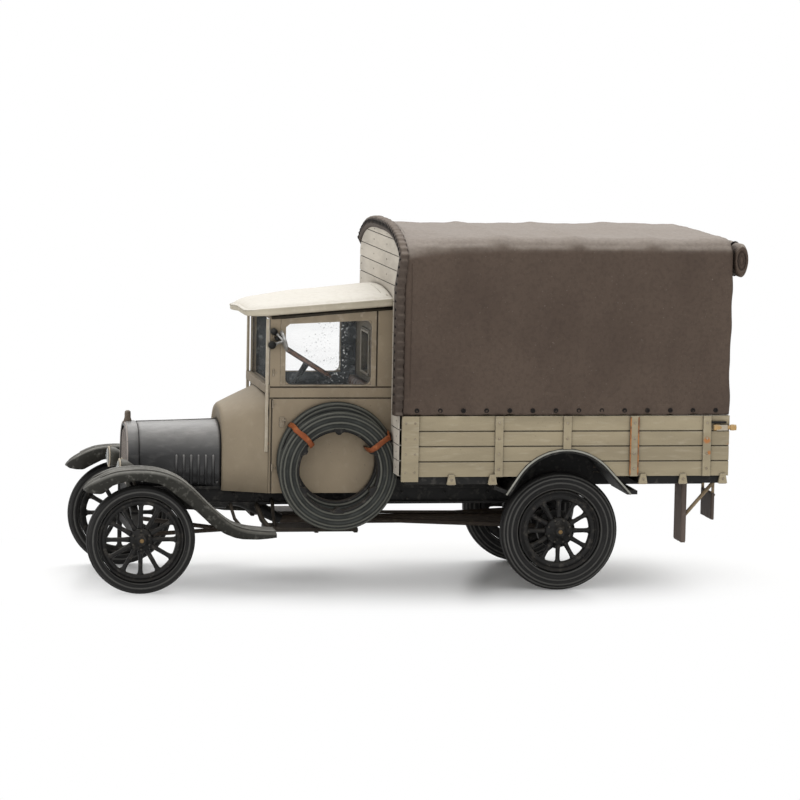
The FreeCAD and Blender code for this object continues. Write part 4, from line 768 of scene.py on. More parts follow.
class Finishes:
    """All finishes of the model, shared by its pieces."""

    khaki = Paint("khaki_boards", Slot.KHAKI, (160, 148, 123), (62, 55, 44), (194, 185, 166), mottle=0.26, wash_and_shade=1.0,
                  wash_and_shade_reach=0.45, streak=(4.0, 1.0, 0.7), dust_and_sheen=0.4, edge=0.5,
                  spots=(Spot((-25.0, 11.1, 13.3), 0.35), Spot((-25.2, 11.1, 12.2), 0.25),
                         Spot((-26.9, 11.1, 12.9), 0.3, strength=0.6)))
    cab = Paint("khaki_cab", Slot.KHAKI, (146, 132, 111), (46, 39, 32), (178, 169, 152), mottle=0.16, wash_and_shade=1.0,
                wash_and_shade_reach=0.4, streak=(1.2, 1.0, 1.5), dust_and_sheen=0.4, edge=0.35, grain=0.01)
    cowl = Paint("khaki_cowl", Slot.KHAKI, (144, 131, 111), (52, 44, 36), (176, 164, 146), mottle=0.14, wash_and_shade=0.9,
                 streak=(1.2, 1.0, 1.5), dust_and_sheen=0.45, edge=0.4, grain=0.01,
                 spots=(Spot((12.5, 5.95, 12.5), 0.3),))
    frame = Paint("khaki_screen", Slot.KHAKI, (132, 119, 100), (52, 44, 36), (196, 186, 170), mottle=0.2, edge=0.6)
    rear_wall = Paint("khaki_rear_wall", Slot.ROOF, (122, 112, 96), (44, 40, 34), (156, 146, 130), mottle=0.25,
                      wash_and_shade=1.0, wash_and_shade_reach=0.8)
    belt = Paint("khaki_frames", Slot.KHAKI, (146, 133, 113), (50, 42, 34), (198, 189, 174), mottle=0.3)
    pale = Paint("pale_beads", Slot.KHAKI, (176, 165, 146), (96, 84, 68), (226, 220, 208), mottle=0.25)
    # Dark paint for the strip painted as the shadow under the roof's edge; the headboard's nails take it too.
    shadow = Paint("gutter_shadow_and_nail_paint", Slot.KHAKI, (52, 47, 38), (26, 23, 19), (92, 85, 72), mottle=0.3)
    head = Paint("khaki_headboard", Slot.KHAKI, (198, 190, 177), (76, 68, 58), (210, 204, 194), mottle=0.3,
                 streak=(1, 3.0, 0.7), wash_and_shade=0.95)
    roof = Paint("pale_roof", Slot.ROOF, (188, 179, 160), (96, 84, 66), (220, 215, 205), mottle=0.2, dust_and_sheen=0.95,
                 edge=0.5, wash_and_shade=0.8)
    black = Paint("black_chassis", Slot.BLACK, (27, 26, 25), (10, 10, 10), (92, 89, 84), mottle=0.4, edge=0.4,
                  dust_and_sheen=0.25, roughness=0.55)
    # The bonnet's light top layer is mostly a painted highlight along its rounded shoulder, with a little dust.
    bonnet = Paint("black_bonnet", Slot.BLACK, (27, 27, 28), (10, 10, 10), (150, 148, 145), mottle=0.1, edge=0.7,
                   dust_and_sheen=0.75, dust_and_sheen_from=-0.1, roughness=0.42, gloss=0.5, streak=(2.5, 1, 1))
    radiator = Paint("grey_radiator_shell", Slot.BLACK, (162, 152, 145), (52, 48, 44), (178, 170, 162), mottle=0.35,
                     edge=0.5, dust_and_sheen=0.4, roughness=0.5)
    cap = Paint("brown_cap", Slot.BLACK, (104, 92, 80), (44, 38, 33), (156, 146, 134), mottle=0.4, dust_and_sheen=0.4)
    lamp = Paint("grey_lamps", Slot.BLACK, (78, 77, 71), (28, 27, 24), (140, 138, 132), mottle=0.5, edge=0.6,
                 dust_and_sheen=0.5, roughness=0.5)
    guard = Paint("olive_mudguards", Slot.BLACK, (42, 41, 36), (16, 15, 13), (128, 126, 119), mottle=0.5, edge=0.5,
                  edge_radius=0.08, dust_and_sheen=0.5, roughness=0.55, wash_and_shade=1.0, wash_and_shade_reach=0.16, grain=0.04)
    rib = Paint("grey_ribs", Slot.BLACK, (136, 134, 128), (48, 46, 42), (168, 166, 160), mottle=0.5)
    # Dark boards painted as the shade inside the cab and behind the rear window, with pale specks.
    lining = Paint("interior_shade_paint", Slot.KHAKI, (74, 77, 80), (36, 38, 40), (180, 184, 186), mottle=0.5, dust_and_sheen=0.0,
                   wash_and_shade=0.6)
    # A pale bead painted as the highlight along each rear mudguard's lip.
    bead = Paint("lip_highlight_paint", Slot.BLACK, (158, 157, 148), (80, 78, 72), (186, 186, 178), mottle=0.3)
    wheel = Paint("black_wheels", Slot.BLACK, (26, 25, 24), (9, 9, 9), (100, 94, 86), mottle=0.4, edge=0.4,
                  dust_and_sheen=0.2, roughness=0.5, wash_and_shade_reach=0.25)
    bolt = Paint("worn_bolts", Slot.BLACK, (62, 59, 54), (22, 20, 19), (112, 108, 100), mottle=0.4, edge=0.6,
                 wash_and_shade_reach=0.15)
    board = Paint("brown_running_boards", Slot.BLACK, (42, 36, 30), (18, 15, 13), (88, 80, 70), mottle=0.4,
                  edge=0.5, dust_and_sheen=0.4)
    rods = Paint("brown_rods", Slot.BLACK, (54, 46, 39), (20, 17, 15), (96, 86, 76), mottle=0.4, dust_and_sheen=0.3)
    brown = Paint("brown_boards", Slot.BROWN, (102, 90, 83), (48, 41, 37), (134, 121, 111), mottle=0.5,
                  streak=(1, 1, 3.0), dust_and_sheen=0.3)
    wood = Paint("bare_struts", Slot.BROWN, (150, 132, 106), (80, 66, 50), (182, 166, 142), mottle=0.4)
    canvas = CanvasPaint("brown_canvas", Slot.CANVAS)
    hem = CanvasPaint("dark_hem", Slot.CANVAS, (64, 54, 47), (24, 20, 17), (94, 82, 73), (134, 122, 111), 0.1)
    strap = Paint("tan_straps", Slot.STRAP, (146, 78, 42), (70, 38, 22), (188, 122, 76), mottle=0.5, edge=0.7,
                  roughness=0.55, grain=0.03)
    rust = RustPaint("orange_rust", Slot.STRAP)
    brass = BareMetal("dull_brass", Slot.STEEL, (120, 96, 60), (56, 44, 28), 0.45, 0.5)
    silver = BareMetal("silver_paint", Slot.STEEL)
    film = ClearFilm("window_film", Slot.GLASS, specks_from=5.6, specks_to=7.6)
    lens = ClearFilm("lamp_lens", Slot.GLASS, (206, 212, 214), 0.35)
    seat = SeatLeather("brown_seat", Slot.BROWN)
    rim_wood = Paint("brown_rim", Slot.BROWN, (118, 88, 72), (56, 40, 32), (158, 128, 108), mottle=0.4,
                     roughness=0.5)
    knob = Paint("cream_knobs", Slot.STRAP, (186, 152, 102), (112, 72, 38), (212, 198, 168), mottle=0.7,
                 wash_and_shade_reach=0.2, edge=0.4)
    lace = Paint("dark_lacing", Slot.CANVAS, (24, 20, 18), (10, 9, 8), (58, 50, 44), mottle=0.4, dust_and_sheen=0.1,
                 edge=0.3)


@dataclass
class Studio:
    """Camera, soft lamps and the white floor."""

    eye: Point = (60.6, 329.9, 52.6)
    yaw: float = 10.43
    pitch: float = 6.30
    roll: float = 1.07
    lens: float = 173.4
    ambient: float = 0.62
    floor_radius: float = 900.0
    clear_radius: float = 30.0

    def camera(self) -> None:
        """Makes the camera."""
        yaw, pitch, roll = (math.radians(angle) for angle in (self.yaw, self.pitch, self.roll))
        level = Vector((-math.sin(yaw), -math.cos(yaw), 0))
        side = Vector((-math.cos(yaw), math.sin(yaw), 0))
        up = Vector((0, 0, 1))
        ahead = level * math.cos(pitch) - up * math.sin(pitch)
        above = up * math.cos(pitch) + level * math.sin(pitch)
        right = side * math.cos(roll) + above * math.sin(roll)
        top = above * math.cos(roll) - side * math.sin(roll)
        data = bpy.data.cameras.new("camera")
        data.lens, data.sensor_width = self.lens, 36.0
        data.clip_start, data.clip_end = 0.01, 20.0
        camera = bpy.data.objects.new("camera", data)
        bpy.context.scene.collection.objects.link(camera)
        turn = Matrix((right, top, -ahead)).transposed().to_4x4()
        camera.matrix_world = Matrix.Translation(Vector(self.eye) * MM) @ turn
        bpy.context.scene.camera = camera

    def sun(self, name: str, towards: Point, strength: float, angle: float) -> None:
        """Makes one broad lamp far away.

        Args:
            name: The lamp's name.
            towards: The direction from the model to the lamp.
            strength: Its strength.
            angle: How broad it is, in degrees.
        """
        data = bpy.data.lights.new(name, "SUN")
        data.energy, data.angle = strength, math.radians(angle)
        lamp = bpy.data.objects.new(name, data)
        bpy.context.scene.collection.objects.link(lamp)
        lamp.rotation_euler = Vector(towards).to_track_quat("Z", "Y").to_euler()

    def sky(self) -> None:
        """Makes the white surroundings."""
        world = bpy.data.worlds.new("surroundings")
        bpy.context.scene.world = world
        graph = Graph(world)
        level = graph.node("ShaderNodeMapRange", {}, {"Value": graph.seen(), "To Min": self.ambient, "To Max": 1.0})
        graph.close(graph.node("ShaderNodeBackground", {}, {"Color": graph.colour, "Strength": level}),
                    "ShaderNodeOutputWorld")

    def floor(self) -> None:
        """Makes the floor, which keeps the soft shadow near the model and is white further out."""
        mesh = bpy.data.meshes.new("floor")
        sides = 96
        turns = [2 * math.pi * step / sides for step in range(sides)]
        reach = self.floor_radius * MM
        mesh.from_pydata([(math.cos(turn) * reach, math.sin(turn) * reach, 0.0) for turn in turns], [],
                         [tuple(range(sides))])
        mesh.materials.append(bpy.data.materials.new("white_floor"))
        graph = Graph(mesh.materials[0])
        away = (graph.where * (0.82, 1.5, 0.0)).measure("DISTANCE", (0.0, -6.0, 0.0))
        away = away.step(self.clear_radius * 0.55, self.clear_radius * 1.25)
        card = graph.node("ShaderNodeBsdfPrincipled", {},
                          {"Base Color": linear((243, 243, 242)), "Roughness": 0.32, "Specular IOR Level": 0.5})
        white = graph.node("ShaderNodeEmission", {}, {"Color": graph.colour, "Strength": 1.0})
        graph.close(graph.node("ShaderNodeMixShader", {}, [away * graph.seen(), card, white]))
        floor = bpy.data.objects.new("floor", mesh)
        bpy.context.scene.collection.objects.link(floor)

    def build(self) -> None:
        """Sets up the whole studio."""
        bpy.context.scene.view_settings.view_transform = "Standard"
        self.camera()
        self.sky()
        self.sun("key_lamp", (-0.12, -0.48, 0.87), 1.8, 60)
        self.sun("fill_lamp", (0.50, 0.75, 0.45), 1.15, 110)
        self.floor()


@dataclass
class Tyre:
    """A tyre turned from a rounded section with raised rings on its sides."""

    name: str
    centre: Point
    outer: float
    inner: float
    width: float
    rings: int
    ring_depth: float
    squareness: float
    body: Body = Body.TRUCK
    tread_grooves: int = 2
    stations: int = 84

    def section(self) -> list[Place]:
        """The tyre's section as distances from the axis and from the middle plane.

        Returns:
            The points round the section.
        """
        middle, reach = (self.outer + self.inner) / 2, (self.outer - self.inner) / 2
        points = []
        for station in range(self.stations):
            angle = 2 * math.pi * station / self.stations
            cosine, sine = math.cos(angle), math.sin(angle)
            radial = math.copysign(abs(cosine) ** (2 / self.squareness), cosine)
            side = math.copysign(abs(sine) ** (2 / self.squareness), sine)
            wave = math.cos(radial * math.pi * self.rings) * 0.5 + 0.5
            sunk = self.ring_depth * wave * abs(side) ** 2 if abs(radial) < 0.94 else 0.0
            tread = 0.0
            if cosine > 0.6:
                tread = self.ring_depth * max(0.0, math.cos(side * math.pi * (self.tread_grooves + 1)))
            points.append((middle + reach * radial - tread, (self.width / 2 - sunk) * side))
        return points

    def build(self, rubber: Finish) -> bpy.types.Object:
        """Turns the tyre in its rubber."""
        return turned(self.name, self.section(), self.centre, rubber, body=self.body)


@dataclass(frozen=True)
class Axle:
    """The sizes of the two wheels at one end of the truck."""

    name: str
    x: float
    radius: float
    seat: float
    felloe: float
    width: float
    rim_half: float
    hub: float
    bolts: int
    rings: int
    ring_depth: float
    squareness: float
    lines: tuple[float, ...]


@dataclass
class Wheel:
    """A wooden spoked wheel with its tyre: beaded felloe, tapered spokes, turned hub, bolts and cap."""

    axle: Axle
    side: int
    hand: str
    body: Body
    wheel_y: float = 8.25
    spokes: int = 12
    hub_half: float = 0.75
    cap_reach: float = 0.98

    @property
    def name(self) -> str:
        """The wheel's place on the truck."""
        return "%s_%s" % (self.axle.name, self.hand)

    @property
    def centre(self) -> Point:
        """The wheel's middle."""
        return self.axle.x, self.side * self.wheel_y, self.axle.radius

    @property
    def rim(self) -> float:
        """The radius of the steel rim, just inside the tyre."""
        return self.axle.seat - 0.02

    def turned_part(self, kind: str, section: Sequence[Place], segments: int) -> None:
        """Turns a part of the wheel whose section is drawn for the left side."""
        turned(kind + self.name, [(radius, along * self.side) for radius, along in section], self.centre,
               Finishes.wheel, segments, self.body)

    def felloe_ring(self) -> None:
        """Turns the felloe with its steel rim, groove and inner bead."""
        rim, low, half = self.rim, self.axle.felloe, self.axle.rim_half
        span = rim - low
        self.turned_part("felloe_", [
            (low, -half * 0.7), (low - 0.02, 0.0), (low, half * 0.62), (low + 0.06, half * 0.78),
            (low + span * 0.35, half * 0.84), (low + span * 0.5, half * 0.8), (low + span * 0.56, half * 0.66),
            (low + span * 0.68, half * 0.66), (low + span * 0.74, half * 0.98), (rim - 0.16, half * 1.12),
            (rim - 0.05, half * 1.12), (rim, half), (rim, -half), (rim - 0.2, -half * 1.05),
            (low + span * 0.5, -half * 0.8)], 96)

    def spoke_set(self) -> bpy.types.Object:
        """Builds the spokes, oval in section, with a wider foot and shoulder.

        Returns:
            The piece.
        """
        trim, sides = Trim(), 12
        hub, felloe = self.axle.hub, self.axle.felloe
        shape = ((hub - 0.12, 0.24, 0.27), (hub + 0.12, 0.24, 0.27), (hub + 0.5, 0.2, 0.25), (felloe - 0.5, 0.19, 0.22),
                 (felloe - 0.18, 0.22, 0.23), (felloe - 0.06, 0.32, 0.25), (felloe + 0.08, 0.36, 0.25))
        for index in range(self.spokes):
            turn = 2 * math.pi * index / self.spokes
            radial = Vector((math.cos(turn), 0, math.sin(turn)))
            across = Vector((-math.sin(turn), 0, math.cos(turn)))
            points = []
            for reach, wide, deep in shape:
                for side in range(sides):
                    angle = 2 * math.pi * side / sides
                    points.append(tuple(Vector(self.centre) + radial * reach + across * wide * math.cos(angle)
                                        + Vector((0, deep * math.sin(angle), 0))))
            trim.add(points, grid(len(shape), sides, around=True, ends=True))
        return trim.build("spokes_" + self.name, Finishes.wheel, True, self.body)

    def hub_set(self) -> None:
        """Turns the hub and sets its flange's bolts."""
        hub, half, reach = self.axle.hub, self.hub_half, self.cap_reach
        flange = half * 0.5
        self.turned_part("hub_", [
            (0.36, -half), (0.6, -half), (0.62, -flange), (hub, -flange), (hub + 0.02, 0.0), (hub, flange),
            (hub - 0.06, flange + 0.06), (0.62, flange + 0.08), (0.56, half), (0.44, half + 0.03),
            (0.42, reach - 0.05), (0.34, reach), (0.02, reach + 0.03), (0.02, half - 0.14), (0.36, half - 0.14)], 48)
        self.bolt_circle("hub_bolts_", self.axle.bolts, hub - 0.17, flange + 0.05, 0.1, 0.1, 6, Finishes.bolt)

    def cap(self) -> None:
        """Sets the brass cap on the hub's end."""
        cap = Trim()
        cap.stud((self.axle.x, self.side * (self.wheel_y + 0.99), self.axle.radius), (0, self.side, 0), 0.19, 0.1, 14)
        cap.build("hub_cap_" + self.name, Finishes.brass, body=self.body)

    def bolt_circle(self, kind: str, count: int, reach: float, out: float, radius: float, height: float, sides: int,
                    finish: Finish) -> None:
        """Sets bolt heads round the axle; those with six sides have flat tops.

        Args:
            kind: What their piece is called before the wheel's name.
            count: How many there are.
            reach: Their distance from the axis.
            out: How far their feet stand out from the wheel's middle plane.
            radius: The radius of a head.
            height: Its height.
            sides: How many sides it has.
            finish: Their finish.
        """
        bolts = Trim()
        x, y, z = self.centre
        for index in range(count):
            angle = 2 * math.pi * (index + 0.5) / count
            bolts.stud((x + reach * math.cos(angle), y + self.side * out, z + reach * math.sin(angle)),
                       (0, self.side, 0), radius, height, sides, flat=sides == 6)
        bolts.build(kind + self.name, finish, body=self.body)

    def build(self) -> None:
        """Builds the whole wheel and its tyre."""
        axle = self.axle
        tyre = Tyre("%s_tyre_rings_%s" % (axle.name, self.hand), self.centre, axle.radius, axle.seat, axle.width,
                    axle.rings, axle.ring_depth, axle.squareness, self.body)
        rubber = RubberPaint("rubber_" + self.name, Slot.TYRE, centre=self.centre, lines=axle.lines)
        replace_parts(tyre.build(rubber), "%s_tyre_%s" % (axle.name, self.hand))
        self.felloe_ring()
        self.hub_set()
        self.bolt_circle("rim_bolts_", self.spokes, axle.felloe + (self.rim - axle.felloe) * 0.42,
                         axle.rim_half * 0.8, 0.08, 0.06, 8, Finishes.wheel)
        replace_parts(self.spoke_set(), "%s_wheel_%s" % (axle.name, self.hand))
        self.cap()
        log.info("built the %s %s wheel and its tyre", axle.name, self.hand)


@dataclass
class Wheels:
    """The four spoked wheels with their tyres."""

    front: Axle = Axle("front", 23.5, 4.64, 3.64, 3.02, 1.3, 0.43, 0.95, 6, 2, 0.05, 2.4, (3.72, 4.12))
    rear: Axle = Axle("rear", -12.7, 5.13, 3.58, 2.76, 1.65, 0.5, 1.15, 8, 3, 0.08, 2.9, (3.7, 4.22, 4.62, 4.9))

    def build(self) -> None:
        """Builds everything that turns."""
        for axle, bodies in ((self.front, (Body.FRONT_LEFT, Body.FRONT_RIGHT)),
                             (self.rear, (Body.REAR_LEFT, Body.REAR_RIGHT))):
            for (side, hand), body in zip(SIDES, bodies):
                Wheel(axle, side, hand, body).build()


@dataclass
class SpareTyres:
    """The two spare tyres strapped to the cab's left side."""

    x: float = 6.55
    inner_place: Place = (6.495, 11.0)
    outer_place: Place = (7.665, 10.35)
    radius: float = 5.15
    hole: float = 3.5
    thickness: float = 1.15
    strap_angles: Place = (44.0, 146.0)
    strap_width: float = 0.46
    wall_y: float = 5.92

    def lugs(self) -> None:
        """Builds the small lugs on the inside of the outer tyre."""
        trim = Trim()
        y, z = self.outer_place
        for index in range(6):
            angle = math.radians(30 + 60 * index)
            radial = Vector((math.cos(angle), 0, math.sin(angle)))
            across = Vector((-math.sin(angle), 0, math.cos(angle)))
            centre = Vector((self.x, y, z)) + radial * (self.hole - 0.02)
            points = []
            for level, width, depth in ((0.16, 0.5, 0.46), (-0.1, 0.4, 0.42), (-0.2, 0.24, 0.4), (-0.36, 0.13, 0.3)):
                for sign_a, sign_b in ((-1, -1), (1, -1), (1, 1), (-1, 1)):
                    points.append(tuple(centre + radial * level + across * width * sign_a
                                        + Vector((0, depth * sign_b, 0))))
            trim.add(points, grid(4, 4, around=True, ends=True))
        trim.build("spare_tyre_lugs", Finishes.wheel, slot=Slot.TYRE)

    def strap(self, name: str, angle: float) -> bpy.types.Object:
        """Builds one strap round both tyres, with its thickness and a slack twist.

        Args:
            name: The piece's name.
            angle: Its place round the tyre, in degrees.

        Returns:
            The piece.
        """
        turn = math.radians(angle)
        radial = Vector((math.cos(turn), 0, math.sin(turn)))
        across = Vector((-math.sin(turn), 0, math.cos(turn)))
        path = ((3.16, self.wall_y), (3.14, 6.6), (3.14, 7.5), (3.2, 8.0), (3.36, 8.24), (3.8, 8.31), (4.35, 8.33),
                (4.9, 8.28), (5.16, 8.1), (5.24, 7.7), (5.36, 7.1), (5.5, 6.7), (5.5, self.wall_y))
        points: list[Point] = []
        for index, (reach, y) in enumerate(path):
            share = index / (len(path) - 1)
            wobble = 0.05 * math.sin(share * 17 + angle)
            half = self.strap_width / 2 * (1 + 0.1 * math.sin(share * 29 + angle))
            before, after = path[max(index - 1, 0)], path[min(index + 1, len(path) - 1)]
            along = Vector((after[0] - before[0], after[1] - before[1])).normalized()
            for sign, lift in ((-1, 0.0), (-1, 0.09), (-0.6, 0.12), (0.6, 0.12), (1, 0.09), (1, 0.0)):
                out = Vector((-along[1], along[0])) * (lift - 0.02)
                spot = (Vector((self.x, 0, self.outer_place[1])) + radial * (reach + out[0])
                        + across * (half * sign + wobble) + Vector((0, y + out[1], 0)))
                points.append(tuple(spot))
        return make_piece(name, points, grid(len(path), 6, around=True, ends=True), Finishes.strap)

    def build(self) -> None:
        """Builds the tyres, their flanges and lugs and the straps."""
        hole = self.hole
        flange = [(hole + 0.1, -0.3), (hole - 0.12, -0.26), (hole - 0.14, 0.0), (hole - 0.12, 0.26),
                  (hole - 0.02, 0.34), (hole + 0.12, 0.36)]
        for name, (y, z) in (("inner", self.inner_place), ("outer", self.outer_place)):
            centre = (self.x, y, z)
            tyre = Tyre("spare_tyre_rings_" + name, centre, self.radius, hole, self.thickness, 4, 0.11, 2.9)
            rubber = RubberPaint("rubber_spare_" + name, Slot.TYRE, (56, 58, 55), (104, 104, 96), (20, 21, 20),
                                 centre, (3.68, 4.2, 4.72, 5.02))
            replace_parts(tyre.build(rubber), "spare_tyre_" + name)
            turned("spare_tyre_flange_" + name, flange, centre, Finishes.wheel)
            log.info("built the %s spare tyre", name)
        self.lugs()
        for name, angle in zip(("front", "rear"), self.strap_angles):
            strap = self.strap("spare_strap_" + name, angle)
            if name == "front":
                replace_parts(strap, "spare_straps")
            log.info("built %s", strap.name)


def hood_section(half: float, bottom: float, spring: float, top: float, power: float = 2.5,
                 stations: int = 25) -> list[Place]:
    """The outline of a hood: upright sides that round softly over into its top.

    Args:
        half: Half of its width.
        bottom: The height of its feet.
        spring: The height where the rounding starts.
        top: The height of its top.
        power: How square the rounding is.
        stations: How many points the rounding of one side has.

    Returns:
        Places along Y and Z from the left foot to the right one.
    """
    left = [(half, bottom), (half, bottom + (spring - bottom) * 0.5)]
    for station in range(stations):
        angle = math.pi / 2 * station / (stations - 1)
        left.append((half * math.cos(angle) ** (2 / power), spring + (top - spring) * math.sin(angle) ** (2 / power)))
    return left + [(-y, z) for y, z in reversed(left[:-1])]


def hood(name: str, sections: Sequence[tuple[float, Sequence[Place]]], wall: float,
         finish: Finish, closed_front: bool = False) -> bpy.types.Object:
    """Skins hood sections with a wall of even thickness.

    Args:
        name: The piece's name.
        sections: Places along X with their outlines, rear one first.
        wall: The wall's thickness.
        finish: Its finish.
        closed_front: Whether the front end is closed.

    Returns:
        The piece.
    """
    points: list[Point] = []
    count = len(sections[0][1])
    for x, outline in sections:
        foot = outline[0][1]
        high = max(z for _, z in outline)
        wide = outline[0][0]
        points += [(x, y, z) for y, z in outline]
        points += [(x, y * (1 - wall / wide), foot + (z - foot) * (1 - wall / (high - foot)))
                   for y, z in reversed(outline)]
    around = 2 * count
    faces = grid(len(sections), around, around=True)
    for first in (0, (len(sections) - 1) * around):
        for index in range(count - 1):
            faces.append((first + index, first + index + 1, first + around - 2 - index, first + around - 1 - index))
    if closed_front:
        first = (len(sections) - 1) * around
        faces.append(tuple(range(first + count, first + around)))
    return make_piece(name, points, faces, finish)


def smooth_line(knots: Sequence[Place], steps: int) -> list[Place]:
    """Draws a smooth line through knots.

    Args:
        knots: The places that it passes.
        steps: How many steps it has between two knots.

    Returns:
        Places along the line.
    """
    line = []
    for index in range(len(knots) - 1):
        before = knots[max(index - 1, 0)]
        first, second = knots[index], knots[index + 1]
        after = knots[min(index + 2, len(knots) - 1)]
        for step in range(steps):
            share = step / steps
            place = []
            for axis in (0, 1):
                a, b, c, d = before[axis], first[axis], second[axis], after[axis]
                place.append(0.5 * (2 * b + (c - a) * share + (2 * a - 5 * b + 4 * c - d) * share ** 2
                                    + (3 * b - a - 3 * c + d) * share ** 3))
            line.append((place[0], place[1]))
    return line + [knots[-1]]


def height_at(knots: Sequence[Place], x: float) -> float:
    """Reads a height off a line whose knots fall along X.

    Args:
        knots: X and the height of each knot, the greatest X first.
        x: The place along X.

    Returns:
        The height there.
    """
    if x >= knots[0][0]:
        return knots[0][1]
    for (high_x, first), (low_x, second) in zip(knots, knots[1:]):
        if x >= low_x:
            share = (high_x - x) / (high_x - low_x)
            return first + (second - first) * share
    return knots[-1][1]


@dataclass
class Mudguard:
    """A front mudguard: a ridged, crowned ribbon with skirts, a rounded tip and its stays."""

    side: int
    hand: str
    inner_y: float = 6.75
    outer_y: float = 9.35
    top: tuple[Place, ...] = (
        (28.4, 8.98), (28.15, 9.24), (27.8, 9.52), (27.3, 9.82), (26.5, 10.2), (25.7, 10.45), (24.7, 10.58),
        (23.7, 10.62), (22.6, 10.55), (21.7, 10.38), (20.8, 10.05), (20.0, 9.6), (19.16, 8.92), (18.3, 8.08),
        (17.4, 7.2), (16.5, 6.42), (15.7, 5.88), (14.8, 5.56), (13.9, 5.4), (12.9, 5.3), (12.0, 5.26))
    outer_skirt: tuple[Place, ...] = (
        (28.35, 8.9), (28.1, 8.75), (27.5, 8.68), (26.9, 8.68), (26.5, 9.0), (26.0, 9.4), (25.0, 9.7), (23.7, 9.8),
        (22.0, 9.5), (21.2, 9.02), (20.3, 8.3), (19.5, 7.7), (18.78, 7.05), (18.18, 6.5), (17.75, 6.08), (17.14, 5.65),
        (16.45, 5.21), (15.59, 4.87), (14.91, 4.74), (13.62, 4.7), (12.6, 4.78), (12.0, 4.86))
    inner_skirt: tuple[Place, ...] = (
        (28.35, 8.9), (28.1, 8.75), (27.5, 8.68), (26.9, 8.68), (26.3, 9.0), (25.2, 9.55), (23.5, 9.75), (22.0, 9.4),
        (21.0, 8.75), (20.2, 7.85), (19.7, 7.0), (18.8, 6.95), (18.1, 6.6), (17.3, 6.1), (16.4, 5.5), (15.4, 5.15),
        (14.4, 4.98), (12.0, 4.9))
    crown: tuple[Place, ...] = (
        (-1.0, -0.32), (-0.985, -0.02), (-0.95, 0.05), (-0.88, 0.04), (-0.84, -0.12), (-0.77, -0.12), (-0.72, 0.01),
        (-0.5, 0.05), (-0.44, -0.04), (-0.38, 0.05), (-0.08, 0.06), (-0.02, -0.03), (0.04, 0.05), (0.34, 0.03),
        (0.4, -0.07), (0.46, 0.01), (0.7, -0.04), (0.82, -0.1), (0.92, -0.2), (0.98, -0.36),
        (0.9, -0.38), (0.8, -0.26), (0.0, -0.16), (-0.8, -0.2), (-0.92, -0.36))
    tip_start: float = 26.9

    def section(self, x: float, top: float) -> list[Place]:
        """The ribbon's section at one place.

        Args:
            x: The place along X.
            top: The height of its top there.

        Returns:
            Places along Y and Z round the section.
        """
        narrow = 1.0
        if x > self.tip_start:
            narrow = math.sqrt(max(0.04, 1 - ((x - self.tip_start) / 1.53) ** 2))
        middle, half = (self.inner_y + self.outer_y) / 2, (self.outer_y - self.inner_y) / 2 * narrow
        low_out, low_in = (min(height_at(skirt, x), top - 0.1) for skirt in (self.outer_skirt, self.inner_skirt))
        flat = min(1.0, (top - min(low_out, low_in)) / 0.7)
        places = [(share, top + height * flat) for share, height in self.crown]
        places = [(-0.99, low_in)] + places[:20] + [(1.0, low_out), (0.93, low_out)] + places[20:] + [(-0.93, low_in)]
        return [(middle + half * share, level) for share, level in places]

    def ribbon(self) -> bpy.types.Object:
        """Sweeps the ribbon along its line.

        Returns:
            The piece.
        """
        line = smooth_line(self.top, 5)
        sections = [self.section(x, z) for x, z in line]
        points = [(x, self.side * y, z) for (x, _), places in zip(line, sections) for y, z in places]
        return make_piece("mudguard_ribbon_" + self.hand, points,
                          grid(len(line), len(sections[0]), around=True, ends=True), Finishes.guard)

    def ribs(self) -> None:
        """Builds the raised ribs that run along the crown."""
        trim = Trim()
        for y, radius, stop in ((6.92, 0.11, 27.6), (7.5, 0.08, 27.2), (8.1, 0.09, 28.1), (8.68, 0.08, 27.2)):
            path = [(x, self.side * y, z + 0.06) for x, z in smooth_line(self.top, 3) if x < stop]
            sizes = [radius * min(1.0, 0.4 + 0.4 * (stop - x)) for x, _, _ in path]
            trim.tube(path, radius, 8, sizes)
        trim.build("mudguard_ribs_" + self.hand, Finishes.rib, True)

    def stays(self) -> None:
        """Builds the curved stays that carry the mudguard and the board behind it."""
        trim = Trim()
        for radius, path in (
                (0.13, ((23.3, 3.3, 8.3), (23.7, 4.4, 9.0), (23.9, 5.8, 9.9), (23.9, 6.9, 10.3))),
                (0.15, ((15.2, 3.4, 6.95), (15.25, 4.4, 6.7), (15.1, 5.4, 5.95), (14.7, 6.2, 5.45), (14.5, 7.1, 5.35))),
                (0.24, ((12.95, 3.4, 6.9), (12.9, 4.6, 6.5), (12.75, 5.4, 5.9), (12.4, 6.1, 5.45), (12.2, 6.9, 5.2)))):
            trim.tube([(x, self.side * y, z) for x, y, z in path], radius)
        trim.build("mudguard_stays_" + self.hand, Finishes.board, True)


